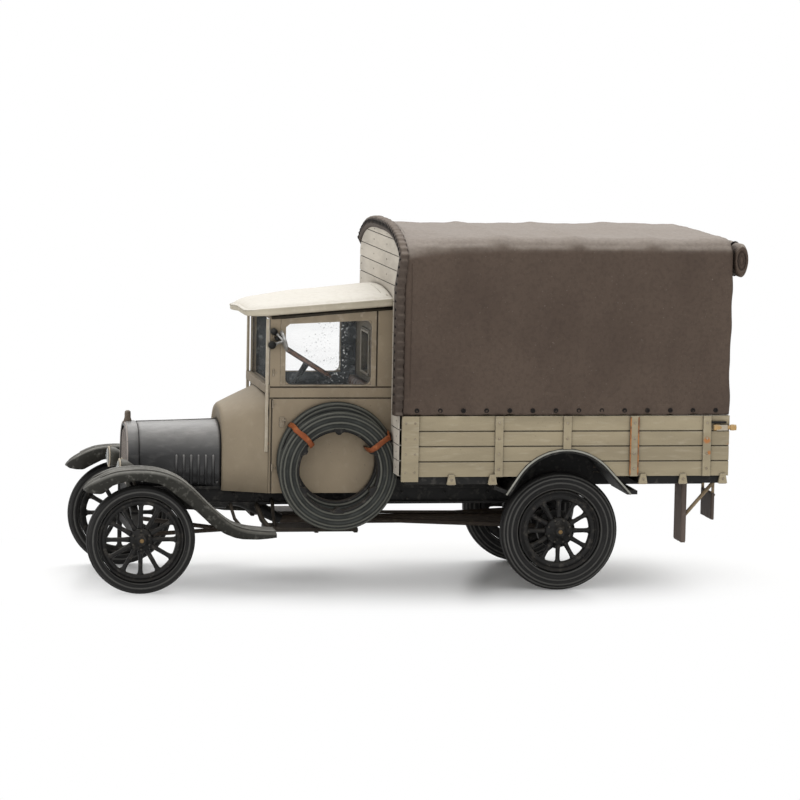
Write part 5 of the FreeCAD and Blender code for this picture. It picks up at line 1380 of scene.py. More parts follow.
@dataclass
class Nose:
    """Radiator, bonnet, headlamps and front mudguards."""

    bonnet_rear_x: float = 16.05
    bonnet_front_x: float = 23.1
    radiator_x: float = 24.12
    bottom_z: float = 8.5
    rear_half: float = 3.55
    front_half: float = 2.9
    rear_top: float = 13.95
    front_top: float = 13.75
    louvres: tuple[float, ...] = (16.75, 17.38, 18.01, 18.64, 19.27, 19.9)
    cap_x: float = 23.8
    lamp_x: float = 24.95
    lamp_y: float = 4.3
    lamp_z: float = 10.15
    lamp_radius: float = 0.92

    def half_at(self, x: float) -> float:
        """Half of the bonnet's width at a place along X."""
        share = (x - self.bonnet_rear_x) / (self.bonnet_front_x - self.bonnet_rear_x)
        return self.rear_half + (self.front_half - self.rear_half) * share

    def bonnet(self) -> None:
        """Builds the bonnet's rounded skin, its hinges, louvres and rivets."""
        sections = []
        for step in range(25):
            share = step / 24
            x = self.bonnet_rear_x + (self.bonnet_front_x - 0.02 - self.bonnet_rear_x) * share
            top = self.rear_top + (self.front_top - self.rear_top) * share
            sections.append((x, hood_section(self.half_at(x), self.bottom_z, 11.0, top, 2.45)))
        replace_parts(hood("bonnet_skin", sections, 0.3, Finishes.bonnet), "bonnet")
        hinges = Trim()
        hinges.bar((self.bonnet_rear_x + 0.1, 0, self.rear_top), (self.bonnet_front_x - 0.02, 0, self.front_top), 0.07)
        for side, _ in SIDES:
            for x in (16.4, 22.8):
                hinges.stud((x, side * (self.half_at(x) - 0.01), 8.85), (0, side, 0), 0.09, 0.06)
        hinges.build("bonnet_hinges", Finishes.bonnet, True)
        ribs = Trim()
        for side, _ in SIDES:
            for x in self.louvres:
                y = side * self.half_at(x)
                ribs.tube([(x, y - side * 0.14, 8.55), (x, y + side * 0.02, 8.75), (x, y + side * 0.02, 11.1),
                           (x, y - side * 0.14, 11.3)], 0.13, 8, [0.06, 0.13, 0.13, 0.06])
        ribs.build("bonnet_louvres", Finishes.bonnet, True)
        log.info("built the bonnet with its hinges and louvres")

    def radiator(self) -> None:
        """Builds the radiator's rounded shell, its core, its fins and the filler cap."""
        sections = []
        for x, grow in ((self.bonnet_front_x, 0.0), (self.bonnet_front_x + 0.06, 0.05), (23.5, 0.06), (23.95, 0.06),
                        (24.07, 0.0), (self.radiator_x, -0.1)):
            sections.append((x, hood_section(self.front_half + grow, self.bottom_z, 11.0, self.front_top + grow, 2.45)))
        shell = hood("radiator_shell", sections, 0.3, Finishes.bonnet)
        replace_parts(shell, "radiator")
        core = [(x, hood_section(self.front_half - 0.3, self.bottom_z + 0.02, 11.0, self.front_top - 0.3, 2.45))
                for x in (23.3, 23.98)]
        hood("radiator_core", core, 0.3, Finishes.radiator, closed_front=True)
        edge = Trim()
        edge.tube([(24.06, y, z) for y, z in hood_section(self.front_half - 0.06, self.bottom_z, 11.0,
                                                          self.front_top - 0.06, 2.45)], 0.085, 8)
        edge.build("radiator_edge", Finishes.radiator, True)
        fins = Trim()
        for index in range(13):
            y = -2.28 + 0.38 * index
            fins.box((23.9, y - 0.05, self.bottom_z + 0.05), (24.06, y + 0.05, 13.15 - 0.07 * abs(index - 6)))
        fins.box((23.5, -2.88, self.bottom_z), (24.1, 2.88, self.bottom_z + 0.4), 0.03)
        fins.build("radiator_fins", Finishes.radiator)
        cap = Trim()
        x = self.cap_x
        cap.tube([(x, 0, 13.6), (x, 0, 13.95), (x, 0, 14.1), (x, 0, 14.45), (x, 0, 14.62), (x, 0, 14.72)], 0.3, 14,
                 [0.42, 0.32, 0.27, 0.27, 0.25, 0.12])
        cap.box((x - 0.1, -0.3, 14.5), (x + 0.1, 0.3, 14.64), 0.02)
        piece = cap.build("filler_cap_turned", Finishes.cap, True)
        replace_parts(piece, "filler_cap")
        log.info("built the radiator and its cap")

    def lamps(self) -> None:
        """Builds the headlamps' domed glasses, bright bowls and beaded rims."""
        radius = self.lamp_radius
        sides, rings = 40, 6
        profile = ((24.9, 0.88), (24.65, 0.88), (24.35, 0.78), (24.05, 0.6), (23.75, 0.38), (23.6, 0.2))
        for side, hand in SIDES:
            y = side * self.lamp_y
            points: list[Point] = []
            for ring in range(rings + 1):
                reach = (radius - 0.16) * (1 - ring / rings)
                bulge = 0.24 * (1 - (reach / radius) ** 2)
                for step in range(sides):
                    angle = 2 * math.pi * step / sides
                    flute = 0.02 * math.cos(angle * 10) * (reach / radius)
                    points.append((self.lamp_x + 0.01 + bulge + flute, y + reach * math.cos(angle),
                                   self.lamp_z + reach * math.sin(angle)))
            glass = make_piece("headlamp_glass_" + hand, points, grid(rings + 1, sides, around=True), Finishes.lens,
                               closed=False)
            log.info("built %s", glass.name)
            rim, bowl = Trim(), Trim()
            rim.hoop((self.lamp_x - 0.02, y, self.lamp_z), (0, radius - 0.07, 0), (0, 0, radius - 0.07), 0.08, 40)
            rim.stud((self.lamp_x - 0.2, y, self.lamp_z + radius - 0.06), (0, 0, 1), 0.1, 0.12)
            rim.build("headlamp_rim_" + hand, Finishes.pale, True, slot=Slot.BLACK)
            bowl.tube([(x, y, self.lamp_z) for x, _ in profile], 1.0, 32, [size for _, size in profile])
            bowl.bar((24.2, y, 8.5), (24.2, y, self.lamp_z), 0.17, 10)
            bowl.bar((24.2, y, 8.6), (23.9, side * 2.7, 8.5), 0.16)
            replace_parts(bowl.build("headlamp_bowl_" + hand, Finishes.lamp, True), "headlamp_" + hand)

    def engine(self) -> None:
        """Builds the engine: ribbed block, round pan, flywheel case and the neck that meets the drive tube."""
        engine = Trim()
        engine.box((16.5, -2.0, 7.6), (22.3, 2.0, 11.6), 0.1)
        engine.box((16.9, -1.5, 11.5), (21.9, 1.5, 12.3), 0.1)
        for step in range(5):
            for side, _ in SIDES:
                engine.stud((17.3 + 1.05 * step, side * 1.98, 9.6), (0, side, 0), 0.3, 0.12, 12)
        path = ((22.2, 7.9), (21.6, 7.9), (16.6, 7.9), (16.2, 7.7), (15.1, 7.7), (14.9, 7.6), (13.6, 6.9), (12.2, 6.1),
                (10.9, 5.4), (10.35, 5.13))
        engine.tube([(x, 0.0, z) for x, z in path], 1.0, 24, [1.1, 1.4, 1.4, 1.6, 1.6, 1.2, 0.75, 0.6, 0.5, 0.46])
        piece = engine.build("engine_castings", Finishes.black)
        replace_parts(piece, "engine_block")
        log.info("built the engine")

    def build(self) -> None:
        """Builds and dresses the nose."""
        self.bonnet()
        self.radiator()
        self.lamps()
        for side, hand in SIDES:
            guard = Mudguard(side, hand)
            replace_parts(guard.ribbon(), "front_mudguard_" + hand)
            guard.stays()
            guard.ribs()
            log.info("built the %s front mudguard", hand)
        self.engine()


@dataclass
class Cab:
    """The closed cab with its cowl, roof, seat, windows, door irons and mirror."""

    side_y: float = 5.9
    front_x: float = 12.3
    cowl_front_x: float = 16.05
    bottom_z: float = 8.2
    roof_front_x: float = 14.4
    roof_rear_x: float = 1.55
    roof_half: float = 6.5
    roof_front_z: float = 23.35
    roof_rear_z: float = 24.4
    seat_rear_x: float = 3.05
    seat_front_x: float = 6.85
    seat_half: float = 5.0
    seat_top_z: float = 13.1
    back_top_z: float = 17.3
    back_depth: float = 0.9
    floor_z: float = 8.9
    pleats: int = 9

    def cowl(self) -> None:
        """Builds the cowl's smooth skin that flares from the bonnet to the cab."""
        sections = []
        for step in range(25):
            share = step / 24
            x = self.front_x + 0.02 + (self.cowl_front_x - self.front_x - 0.02) * share
            half = self.side_y + (3.95 - self.side_y) * share ** 0.9
            top = 16.85 + (15.3 - 16.85) * share ** 1.15
            spring = 14.3 + (12.2 - 14.3) * share
            shrink = 0.1 * max(0.0, (share - 0.96) / 0.04) ** 2
            sections.append((x, hood_section(half - shrink, self.bottom_z, spring, top - shrink, 2.5 - 0.2 * share)))
        piece = hood("cowl_skin", sections, 0.4, Finishes.cowl, closed_front=True)
        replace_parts(piece, "cowl")
        posts = Trim()
        for side, _ in SIDES:
            posts.box((12.42, side * (self.side_y - 0.25), 11.8), (12.66, side * (self.side_y + 0.12), 23.2), 0.02)
        posts.build("door_pillar_beads", Finishes.pale)
        log.info("built the cowl and the pillar beads")

    def roof(self) -> None:
        """Builds the roof with rounded corners, a crowned skin and a bead over its edge."""
        corners = []
        for centre_x, sign, start, radius in ((self.roof_front_x, 1, 0, 2.3), (self.roof_rear_x, 1, 90, 0.35),
                                              (self.roof_rear_x, -1, 180, 0.35), (self.roof_front_x, -1, 270, 2.3)):
            inward = -1 if centre_x > 5 else 1
            for step in range(13):
                angle = math.radians(start + 90 * step / 12)
                corners.append((centre_x + inward * radius + radius * math.cos(angle),
                                sign * (self.roof_half - radius) + radius * math.sin(angle),
                                math.cos(angle), math.sin(angle)))
        outline = []
        for index, corner in enumerate(corners):
            after = corners[(index + 1) % len(corners)]
            steps = 24 if index % 13 == 12 else 1
            for step in range(steps):
                share = step / steps
                outline.append(tuple(a + (b - a) * share for a, b in zip(corner, after)))
        profile = ((0.6, 0.0), (0.16, 0.0), (0.06, 0.05), (0.01, 0.14), (0.0, 0.26), (0.0, 0.5), (-0.05, 0.54),
                   (-0.05, 0.62), (0.02, 0.66), (0.1, 0.68), (0.16, 0.62), (0.26, 0.7), (0.45, 0.78),
                   (0.75, 0.85), (1.1, 0.88))
        spine = (self.roof_rear_x + 1.15, self.roof_front_x - 2.4)
        rings = [(inset, height, 1.0) for inset, height in profile]
        rings += [(1.1, 0.88, 1.0 - step / 12) for step in range(1, 13)]
        points: list[Point] = []
        for inset, height, share in rings:
            for x, y, out_x, out_y in outline:
                edge_x = min(max(x - out_x * inset, self.roof_rear_x + inset), self.roof_front_x - inset)
                edge_y = math.copysign(min(abs(y - out_y * inset), self.roof_half - inset), y)
                centre_x = min(max(edge_x, spine[0]), spine[1])
                place_x, place_y = centre_x + (edge_x - centre_x) * share, edge_y * share
                fall = (self.roof_front_x - place_x) / (self.roof_front_x - self.roof_rear_x)
                base = self.roof_front_z + (self.roof_rear_z - self.roof_front_z) * fall
                crown = (0.06 + 0.56 * fall) * (1 - (place_y / self.roof_half) ** 2)
                nose = 0.22 * max(0.0, 1 - fall * 7) ** 2
                raised = height + (crown - nose if height > 0.6 else 0.0)
                raised -= 0.42 * max(0.0, -place_y / self.roof_half) * max(0.0, 1 - fall * 2.5)
                points.append((place_x, place_y, base + raised))
        around = len(outline)
        faces = grid(len(rings), around, around=True)
        faces.append(tuple(range(around)))
        piece = make_piece("roof_skin", points, faces, Finishes.roof)
        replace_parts(piece, "cab_roof")
        log.info("built the roof")

    def windows(self) -> None:
        """Builds the side windows' frames, whose heads follow the roof, the rear window's frame and painted shade
        inside.
        """
        front, low = 10.97, 17.55
        for side, hand, rear in ((1, "left", 3.55), (-1, "right", 4.35)):
            trim = Trim()
            inner = [(rear, low), (front, low), (front, 22.5), (front - 0.35, 22.78), (rear + 0.1, 23.1), (rear, 23.0)]
            outer = [(rear - 0.42, low - 0.12), (front + 0.42, low - 0.12), (front + 0.42, 23.2),
                     (front - 0.3, 23.26), (rear + 0.1, 23.9), (rear - 0.42, 23.9)]
            back, face = side * (self.side_y - 0.12), side * (self.side_y + 0.06)
            corners = zip(inner, outer)
            points = [(x, y, z) for (x0, z0), (x1, z1) in corners
                      for x, y, z in ((x0, back, z0), (x0, face, z0), (x1, face, z1), (x1, back, z1))]
            trim.add(points, grid(len(inner), 4, around=True, along=True))
            trim.build("window_frame_" + hand, Finishes.belt)
        rear_frame, lining = Trim(), Trim()
        for y in (1.98, -1.98):
            rear_frame.box((3.05, y - 0.1, 18.0), (3.14, y + 0.1, 21.7))
        for z in (18.0, 21.62):
            rear_frame.box((3.05, -2.08, z - 0.08), (3.14, 2.08, z + 0.08))
        rear_frame.build("rear_window_frame", Finishes.pale, slot=Slot.ROOF)
        # Dark boards painted as the shade on the far wall inside the cab and behind the rear window.
        for first, second in (((3.0, -5.36, 17.5), (4.3, -5.32, 23.1)), ((3.0, -5.36, 14.2), (12.2, -5.32, 17.5)),
                              ((11.0, -5.36, 17.5), (12.2, -5.32, 23.1)), ((1.43, -1.85, 18.15), (1.6, 1.85, 21.55))):
            lining.box(first, second)
        lining.build("cab_interior_shade", Finishes.lining)
        log.info("built the window frames and the lining")

    def cushion(self, name: str, low: Point, high: Point, axis: int) -> bpy.types.Object:
        """Builds a pleated cushion that bulges on one face.

        Args:
            name: The piece's name.
            low: Its low corner.
            high: Its high corner.
            axis: The axis along which its outer face bulges, 0 for X and 2 for Z.

        Returns:
            The piece.
        """
        across, columns = 72, 24
        other = 2 - axis
        front: list[Point] = []
        for row in range(columns + 1):
            down = row / columns
            for step in range(across + 1):
                along = step / across
                edge = min(1.0, 9 * min(along, 1 - along)) ** 0.5 * min(1.0, 7 * min(down, 1 - down)) ** 0.5
                pleat = abs(math.sin(along * math.pi * self.pleats)) ** 0.5
                place = [0.0, low[1] + (high[1] - low[1]) * along, 0.0]
                place[other] = low[other] + (high[other] - low[other]) * down
                place[axis] = high[axis] - 0.42 + edge * (0.2 + 0.2 * pleat)
                front.append((place[0], place[1], place[2]))
        back = [(low[0], y, z) if axis == 0 else (x, y, low[2]) for x, y, z in front]
        return make_piece(name, front + back, slab(columns + 1, across + 1), Finishes.seat)

    def seat(self) -> None:
        """Builds the seat's cushion and back."""
        base = self.cushion("seat_cushion", (self.seat_rear_x, -self.seat_half, self.floor_z),
                            (self.seat_front_x, self.seat_half, self.seat_top_z), 2)
        self.cushion("seat_back", (self.seat_rear_x, -self.seat_half, self.seat_top_z - 0.3),
                     (self.seat_rear_x + self.back_depth, self.seat_half, self.back_top_z), 0)
        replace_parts(base, "seat_bench")
        log.info("built the pleated seat")

    def door_irons(self) -> None:
        """Builds hinges and handles on both doors."""
        for side, hand in SIDES:
            irons = Trim()
            y = side * self.side_y
            out = (0, side, 0)
            for z in (21.9, 18.6, 15.9, 10.4):
                irons.bar((12.0, y + side * 0.02, z - 0.3), (12.0, y + side * 0.02, z + 0.3), 0.08)
                irons.stud((11.75, y, z), out, 0.06, 0.05)
            irons.box((11.0, y - side * 0.05, 13.95), (11.42, y + side * 0.12, 14.75), 0.02)
            irons.bar((11.2, y + side * 0.1, 14.5), (10.85, y + side * 0.16, 14.5), 0.07)
            irons.build("door_irons_" + hand, Finishes.belt)
            # A dark strip painted as the shadow under the roof's overhang.
            strip = Trim()
            strip.tube([(12.2, y + side * 0.03, 23.3), (9.0, y + side * 0.05, 23.56), (5.5, y + side * 0.05, 23.84),
                        (1.75, y + side * 0.03, 24.14)], 0.13, 8)
            strip.build("drip_strip_shadow_" + hand, Finishes.shadow, True)
            log.info("built the %s door's irons", hand)

    def steering(self) -> None:
        """Builds the steering wheel's round rim, spokes and boss over its plain ring."""
        tilt = math.radians(32)
        centre = Vector((8.6, 2.9, 19.2))
        ahead = Vector((math.cos(tilt), 0, math.sin(tilt)))
        across = Vector((0, 1, 0))
        rim, spokes = Trim(), Trim()
        rim.hoop(centre, ahead * 2.2, across * 2.2, 0.225, 60, 10)
        rim.build("steering_rim_wood", Finishes.rim_wood, True)
        for first, second in ((1, 0), (0, 1), (-1, 0), (0, -1)):
            spokes.bar(centre, centre + (ahead * first + across * second) * 2.1, 0.18, 8, 0.14)
        up = across.cross(ahead) * -1
        spokes.stud(centre - up * 0.12, up, 0.46, 0.3, 14)
        spokes.bar(centre, centre - up * 1.6, 0.3, 10, 0.24)
        spokes.build("steering_spokes", Finishes.black, True)
        log.info("built the steering wheel's rim and spokes")

    def mirror(self) -> None:
        """Builds the mirror's rim, glass and dark clamp knobs."""
        lean = math.radians(16)
        centre = Vector((11.25, 6.82, 21.4))
        facing = Vector((-math.cos(lean), 0, math.sin(lean)))
        up = Vector((math.sin(lean), 0, math.cos(lean)))
        rim, glass, knobs = Trim(), Trim(), Trim()
        rim.hoop(centre, up * 0.8, (0, 0.8, 0), 0.13, 36)
        rim.build("mirror_rim", Finishes.silver, True)
        glass.stud(centre + facing * 0.08, facing, 0.74, 0.05, 32, flat=True)
        glass.build("mirror_glass", Finishes.silver)
        for x, z, size in ((12.05, 22.15, 0.3), (12.2, 21.0, 0.34), (11.75, 21.55, 0.2)):
            knobs.tube([(x, 6.0, z), (x, 6.15, z), (x, 6.4, z), (x, 6.55, z)], size, 12, [0.15, size, size, 0.15])
        knobs.build("mirror_knobs", Finishes.black, True)
        log.info("built the mirror's rim, glass and knobs")

    def build(self) -> None:
        """Builds and dresses the cab."""
        self.cowl()
        self.roof()
        self.windows()
        self.seat()
        self.door_irons()
        self.steering()
        self.mirror()
        dress(Finishes.cab, "cab_side_left", "cab_side_right", "cab_floor")
        dress(Finishes.rear_wall, "cab_rear_wall")
        dress(Finishes.frame, "windscreen_frame")
        dress(Finishes.film, "cab_glass")
        dress(Finishes.black, "steering_column")
        dress(Finishes.silver, "side_mirror")


@dataclass
class Bed:
    """The plank bed with its irons, latches and rust, and what hangs below it."""

    half_width: float = 10.9
    batten_y: float = 11.1
    bottom_z: float = 10.2
    battens: tuple[float, ...] = (-6.75, -12.70, -18.59, -25.0)
    bearers: tuple[float, ...] = (0.9, -2.675, -6.25, -19.43, -22.965, -26.5)
    arch_x: float = -12.7
    head_full: float = 10.33

    def irons(self) -> None:
        """Builds the bolts of battens, corner plates and bearer tabs."""
        for side, hand in SIDES:
            bolts = Trim()
            y = side * self.batten_y
            out = (0, side, 0)
            for x in self.battens:
                for z in (10.85, 12.15, 13.45, 14.8):
                    if abs(x - self.arch_x) < 1 and z < 13:
                        continue
                    bolts.stud((x, y, z), out, 0.11, 0.08)
            for z in (10.6, 12.15, 13.45, 14.8):
                for x in (0.55, 1.35):
                    bolts.stud((x, y, z), out, 0.09, 0.06)
            for x in self.bearers[1:]:
                bolts.stud((x, y, 9.95), out, 0.12, 0.09)
            bolts.build("side_board_bolts_" + hand, Finishes.belt)
            log.info("built the %s side board's bolts", hand)

    def rust(self) -> None:
        """Builds the thin rusty edges by the third batten and at the tail."""
        for side, hand in SIDES:
            strips = Trim()
            y = side * self.batten_y
            for x in (-18.93, -18.25):
                strips.box((x - 0.045, y - side * 0.06, 10.3), (x + 0.045, y + side * 0.035, 15.3))
            strips.build("rusty_edges_" + hand, Finishes.rust)
            log.info("built the %s side's rusty edges", hand)

    def headboard(self) -> None:
        """Builds the headboard's planks, thicker above the cab's roof and rounded below the hem."""
        planks, nails = Trim(), Trim()
        whole = (-self.head_full, self.head_full)
        levels = [self.bottom_z + 1.33 * index for index in range(12)] + [26.2, 27.52, 28.8, 30.1, 30.62]
        for low, high in zip(levels, levels[1:]):
            front = 1.86 if low > 24 else 1.4
            middle = (low + high) / 2
            self.plank(planks, (low, high), whole, (0.92, front - 0.1))
            self.plank(planks, (low + 0.035, high - 0.035), whole, (1.0, front))
            if low < 24:
                for ends in ((6.7, self.head_full), (-self.head_full, -6.7)):
                    self.plank(planks, (low + 0.035, high - 0.035), ends, (1.0, 1.86))
                    self.plank(planks, (low, high), ends, (1.0, 1.76))
            for y in (-9.4, -3.2, 3.2, 9.4):
                if abs(y) < self.head_half(middle) - 0.3:
                    nails.stud((1.86 if abs(y) > 6.7 else front, y, middle), (1, 0, 0), 0.07, 0.03, 6)
        nails.build("headboard_nails", Finishes.shadow)
        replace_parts(planks.build("headboard_planks", Finishes.head), "headboard")
        log.info("built the headboard's planks")

    def head_half(self, z: float) -> float:
        """Half of the headboard's width at a height, below the hem's round top."""
        rise = min(1.0, max(0.0, (z - 27.9) / 2.78))
        return self.head_full if z < 28.0 else min(self.head_full, 10.2 * (1 - rise ** 1.6) ** (1 / 2.8) + 0.2)

    def plank(self, trim: Trim, heights: Place, ends: Place, faces_x: Place) -> None:
        """Adds one plank of the headboard, cut to the round top.

        Args:
            trim: What it is added to.
            heights: The heights of its lower and upper edges.
            ends: Its lesser and greater ends along Y.
            faces_x: The places of its rear and front faces along X.
        """
        steps = 8
        levels = [heights[0] + (heights[1] - heights[0]) * step / steps for step in range(steps + 1)]
        outline = [(min(ends[1], self.head_half(z)), z) for z in levels]
        outline += [(max(ends[0], -self.head_half(z)), z) for z in reversed(levels)]
        trim.add([(x, y, z) for x in faces_x for y, z in outline], grid(2, len(outline), around=True, ends=True))

    def tabs(self) -> None:
        """Builds the pale tabs on the bearers' ends and the foot of each corner plate."""
        for side, hand in SIDES:
            tabs = Trim()
            y = side * (self.half_width + 0.02)
            for x in self.bearers[1:]:
                tabs.box((x - 0.3, y - side * 0.35, 9.5), (x + 0.3, y + side * 0.1, 10.3), 0.03)
            tabs.build("bearer_tabs_" + hand, Finishes.pale)
            log.info("built the %s side's tabs", hand)

    def arch_lip_highlights(self) -> None:
        """Builds the grey bead along the outer edge of each rear mudguard, a painted highlight on its lip."""
        for side, hand in SIDES:
            y = side * 10.98
            path: list[Point] = [(-7.5, y, 8.62)]
            for degrees in range(32, 139, 3):
                angle = math.radians(degrees)
                path.append((self.arch_x + 4.95 * math.cos(angle), y, 7.5 + 4.95 * math.sin(angle)))
            path.append((-18.42, y, 8.62))
            bead = Trim()
            bead.tube(path, 0.085)
            bead.build("arch_lip_highlight_" + hand, Finishes.bead, True)
            log.info("built the %s rear mudguard's bead", hand)

    def latches(self) -> None:
        """Builds the latches' turned knobs, hooks and dark bars over their plain rods."""
        for side, hand in SIDES:
            y = side * (self.batten_y + 0.05)
            knobs = Trim()
            profile = ((-27.5, 0.16), (-27.44, 0.24), (-27.3, 0.265), (-27.1, 0.26), (-26.98, 0.17), (-26.7, 0.15),
                       (-26.35, 0.15), (-26.15, 0.2), (-26.0, 0.26), (-25.75, 0.265), (-25.6, 0.22), (-25.55, 0.14))
            knobs.tube([(x, y, 14.4) for x, _ in profile], 0.2, 14, [radius for _, radius in profile])
            knobs.build("latch_knobs_" + hand, Finishes.knob, True)
            hook, bar = Trim(), Trim()
            hook.box((-26.75, y - side * 0.1, 14.16), (-25.75, y + side * 0.2, 14.62), 0.04)
            hook.build("latch_hook_" + hand, Finishes.pale, slot=Slot.STRAP)
            bar.bar((-26.65, y, 14.85), (-25.35, y, 14.85), 0.09)
            bar.build("latch_bar_" + hand, Finishes.black, True)
            log.info("built the %s latch's knobs", hand)

    def flap(self) -> None:
        """Builds the worn skins of the mud flap and tail board."""
        columns, rows = 26, 30
        for name, low, high in (("mud_flap_board", (-23.83, 6.6, 4.1), (-23.38, 9.2, 9.5)),
                                ("tail_board_plank", (-26.65, 4.3, 5.9), (-26.35, 8.0, 8.3))):
            points: list[Point] = []
            for face in (0, 1):
                for column in range(columns + 1):
                    across = column / columns
                    for row in range(rows + 1):
                        up = row / rows
                        inset = 0.05 if column in (0, columns) or row in (0, rows) else -0.005
                        ragged = abs(0.07 * noise.noise(Vector((across * 5, up * 5, face * 3 + low[0]))))
                        x = low[0] + inset if face == 0 else high[0] - inset
                        y = low[1] + (high[1] - low[1]) * across
                        z = low[2] + (high[2] - low[2]) * up
                        if row == 0:
                            z += ragged + 0.02
                        if column in (0, columns):
                            y += ragged * 0.6 * (1 if column == 0 else -1)
                        points.append((x, y, z))
            make_piece(name, points, slab(columns + 1, rows + 1), Finishes.brown)
            log.info("built %s", name)
        rods = Trim()
        rods.bar((-23.74, 8.33, 6.25), (-26.5, 8.33, 9.42), 0.17, 10)
        for y in (7.85, 4.45):
            rods.bar((-26.5, y, 8.0), (-26.5, y, 9.6), 0.14)
            rods.stud((-26.66, y, 8.1), (-1, 0, 0), 0.1, 0.06)
        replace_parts(rods.build("hanger_rods", Finishes.wood, True), "mud_flap", "tail_board")

    def build(self) -> None:
        """Builds and dresses the bed."""
        self.irons()
        self.headboard()
        self.tabs()
        self.arch_lip_highlights()
        self.rust()
        self.latches()
        self.flap()
        dress(Finishes.khaki, "bed_side_left", "bed_side_right", "bed_floor", "tailgate")
        dress(Finishes.knob, "tailgate_latches")
        dress(Finishes.black, "bed_bearers", "rear_mudguard_left", "rear_mudguard_right")


@dataclass
class Chassis:
    """The frame and what is bolted to it."""

    rail_y: float = 3.5
    board_front_x: float = 12.5
    board_rear_x: float = 4.6

    def build(self) -> None:
        """Dresses the frame and adds its rivets."""
        rivets = Trim()
        for side, _ in SIDES:
            for x in (14.9, 13.1, 9.4, 6.2, 0.2, -3.6, -7.4):
                rivets.stud((x, side * self.rail_y, 7.9), (0, side, 0), 0.12, 0.08)
                rivets.stud((x - 0.5, side * self.rail_y, 7.35), (0, side, 0), 0.12, 0.08)
        rivets.build("frame_rivets", Finishes.black)
        for side, hand in SIDES:
            board = Trim()
            for index in range(8):
                y = side * (self.rail_y + 0.4375 * index + 0.21875)
                board.box((self.board_rear_x, y - 0.2, 5.0), (self.board_front_x, y + 0.2, 5.3), 0.02)
            for x in (self.board_rear_x + 0.2, 8.2, self.board_front_x - 0.25):
                board.box((x - 0.15, side * self.rail_y, 4.9), (x + 0.15, side * 6.98, 5.05))
            piece = board.build("running_board_planks_" + hand, Finishes.board)
            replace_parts(piece, "running_board_" + hand)
            brackets = Trim()
            for x in (11.6, 5.2):
                brackets.tube([(x, side * 3.4, 7.3), (x, side * 3.75, 7.1), (x, side * 4.1, 6.4), (x, side * 4.8, 5.6),
                               (x, side * 5.6, 5.2)], 0.16, 8)
            brackets.build("running_board_brackets_" + hand, Finishes.board, True)
            log.info("built the %s running board", hand)
        rod = Trim()
        rod.bar((7.6, 0.0, 5.75), (-11.2, 0.0, 5.6), 0.14)
        rod.build("brake_rod", Finishes.rods, True)
        dress(Finishes.black, "chassis_frame", "front_axle", "rear_axle", "front_spring", "rear_spring")
        dress(Finishes.rods, "torque_tube", "radius_rods")
        log.info("dressed the chassis and built its rivets and brake rod")


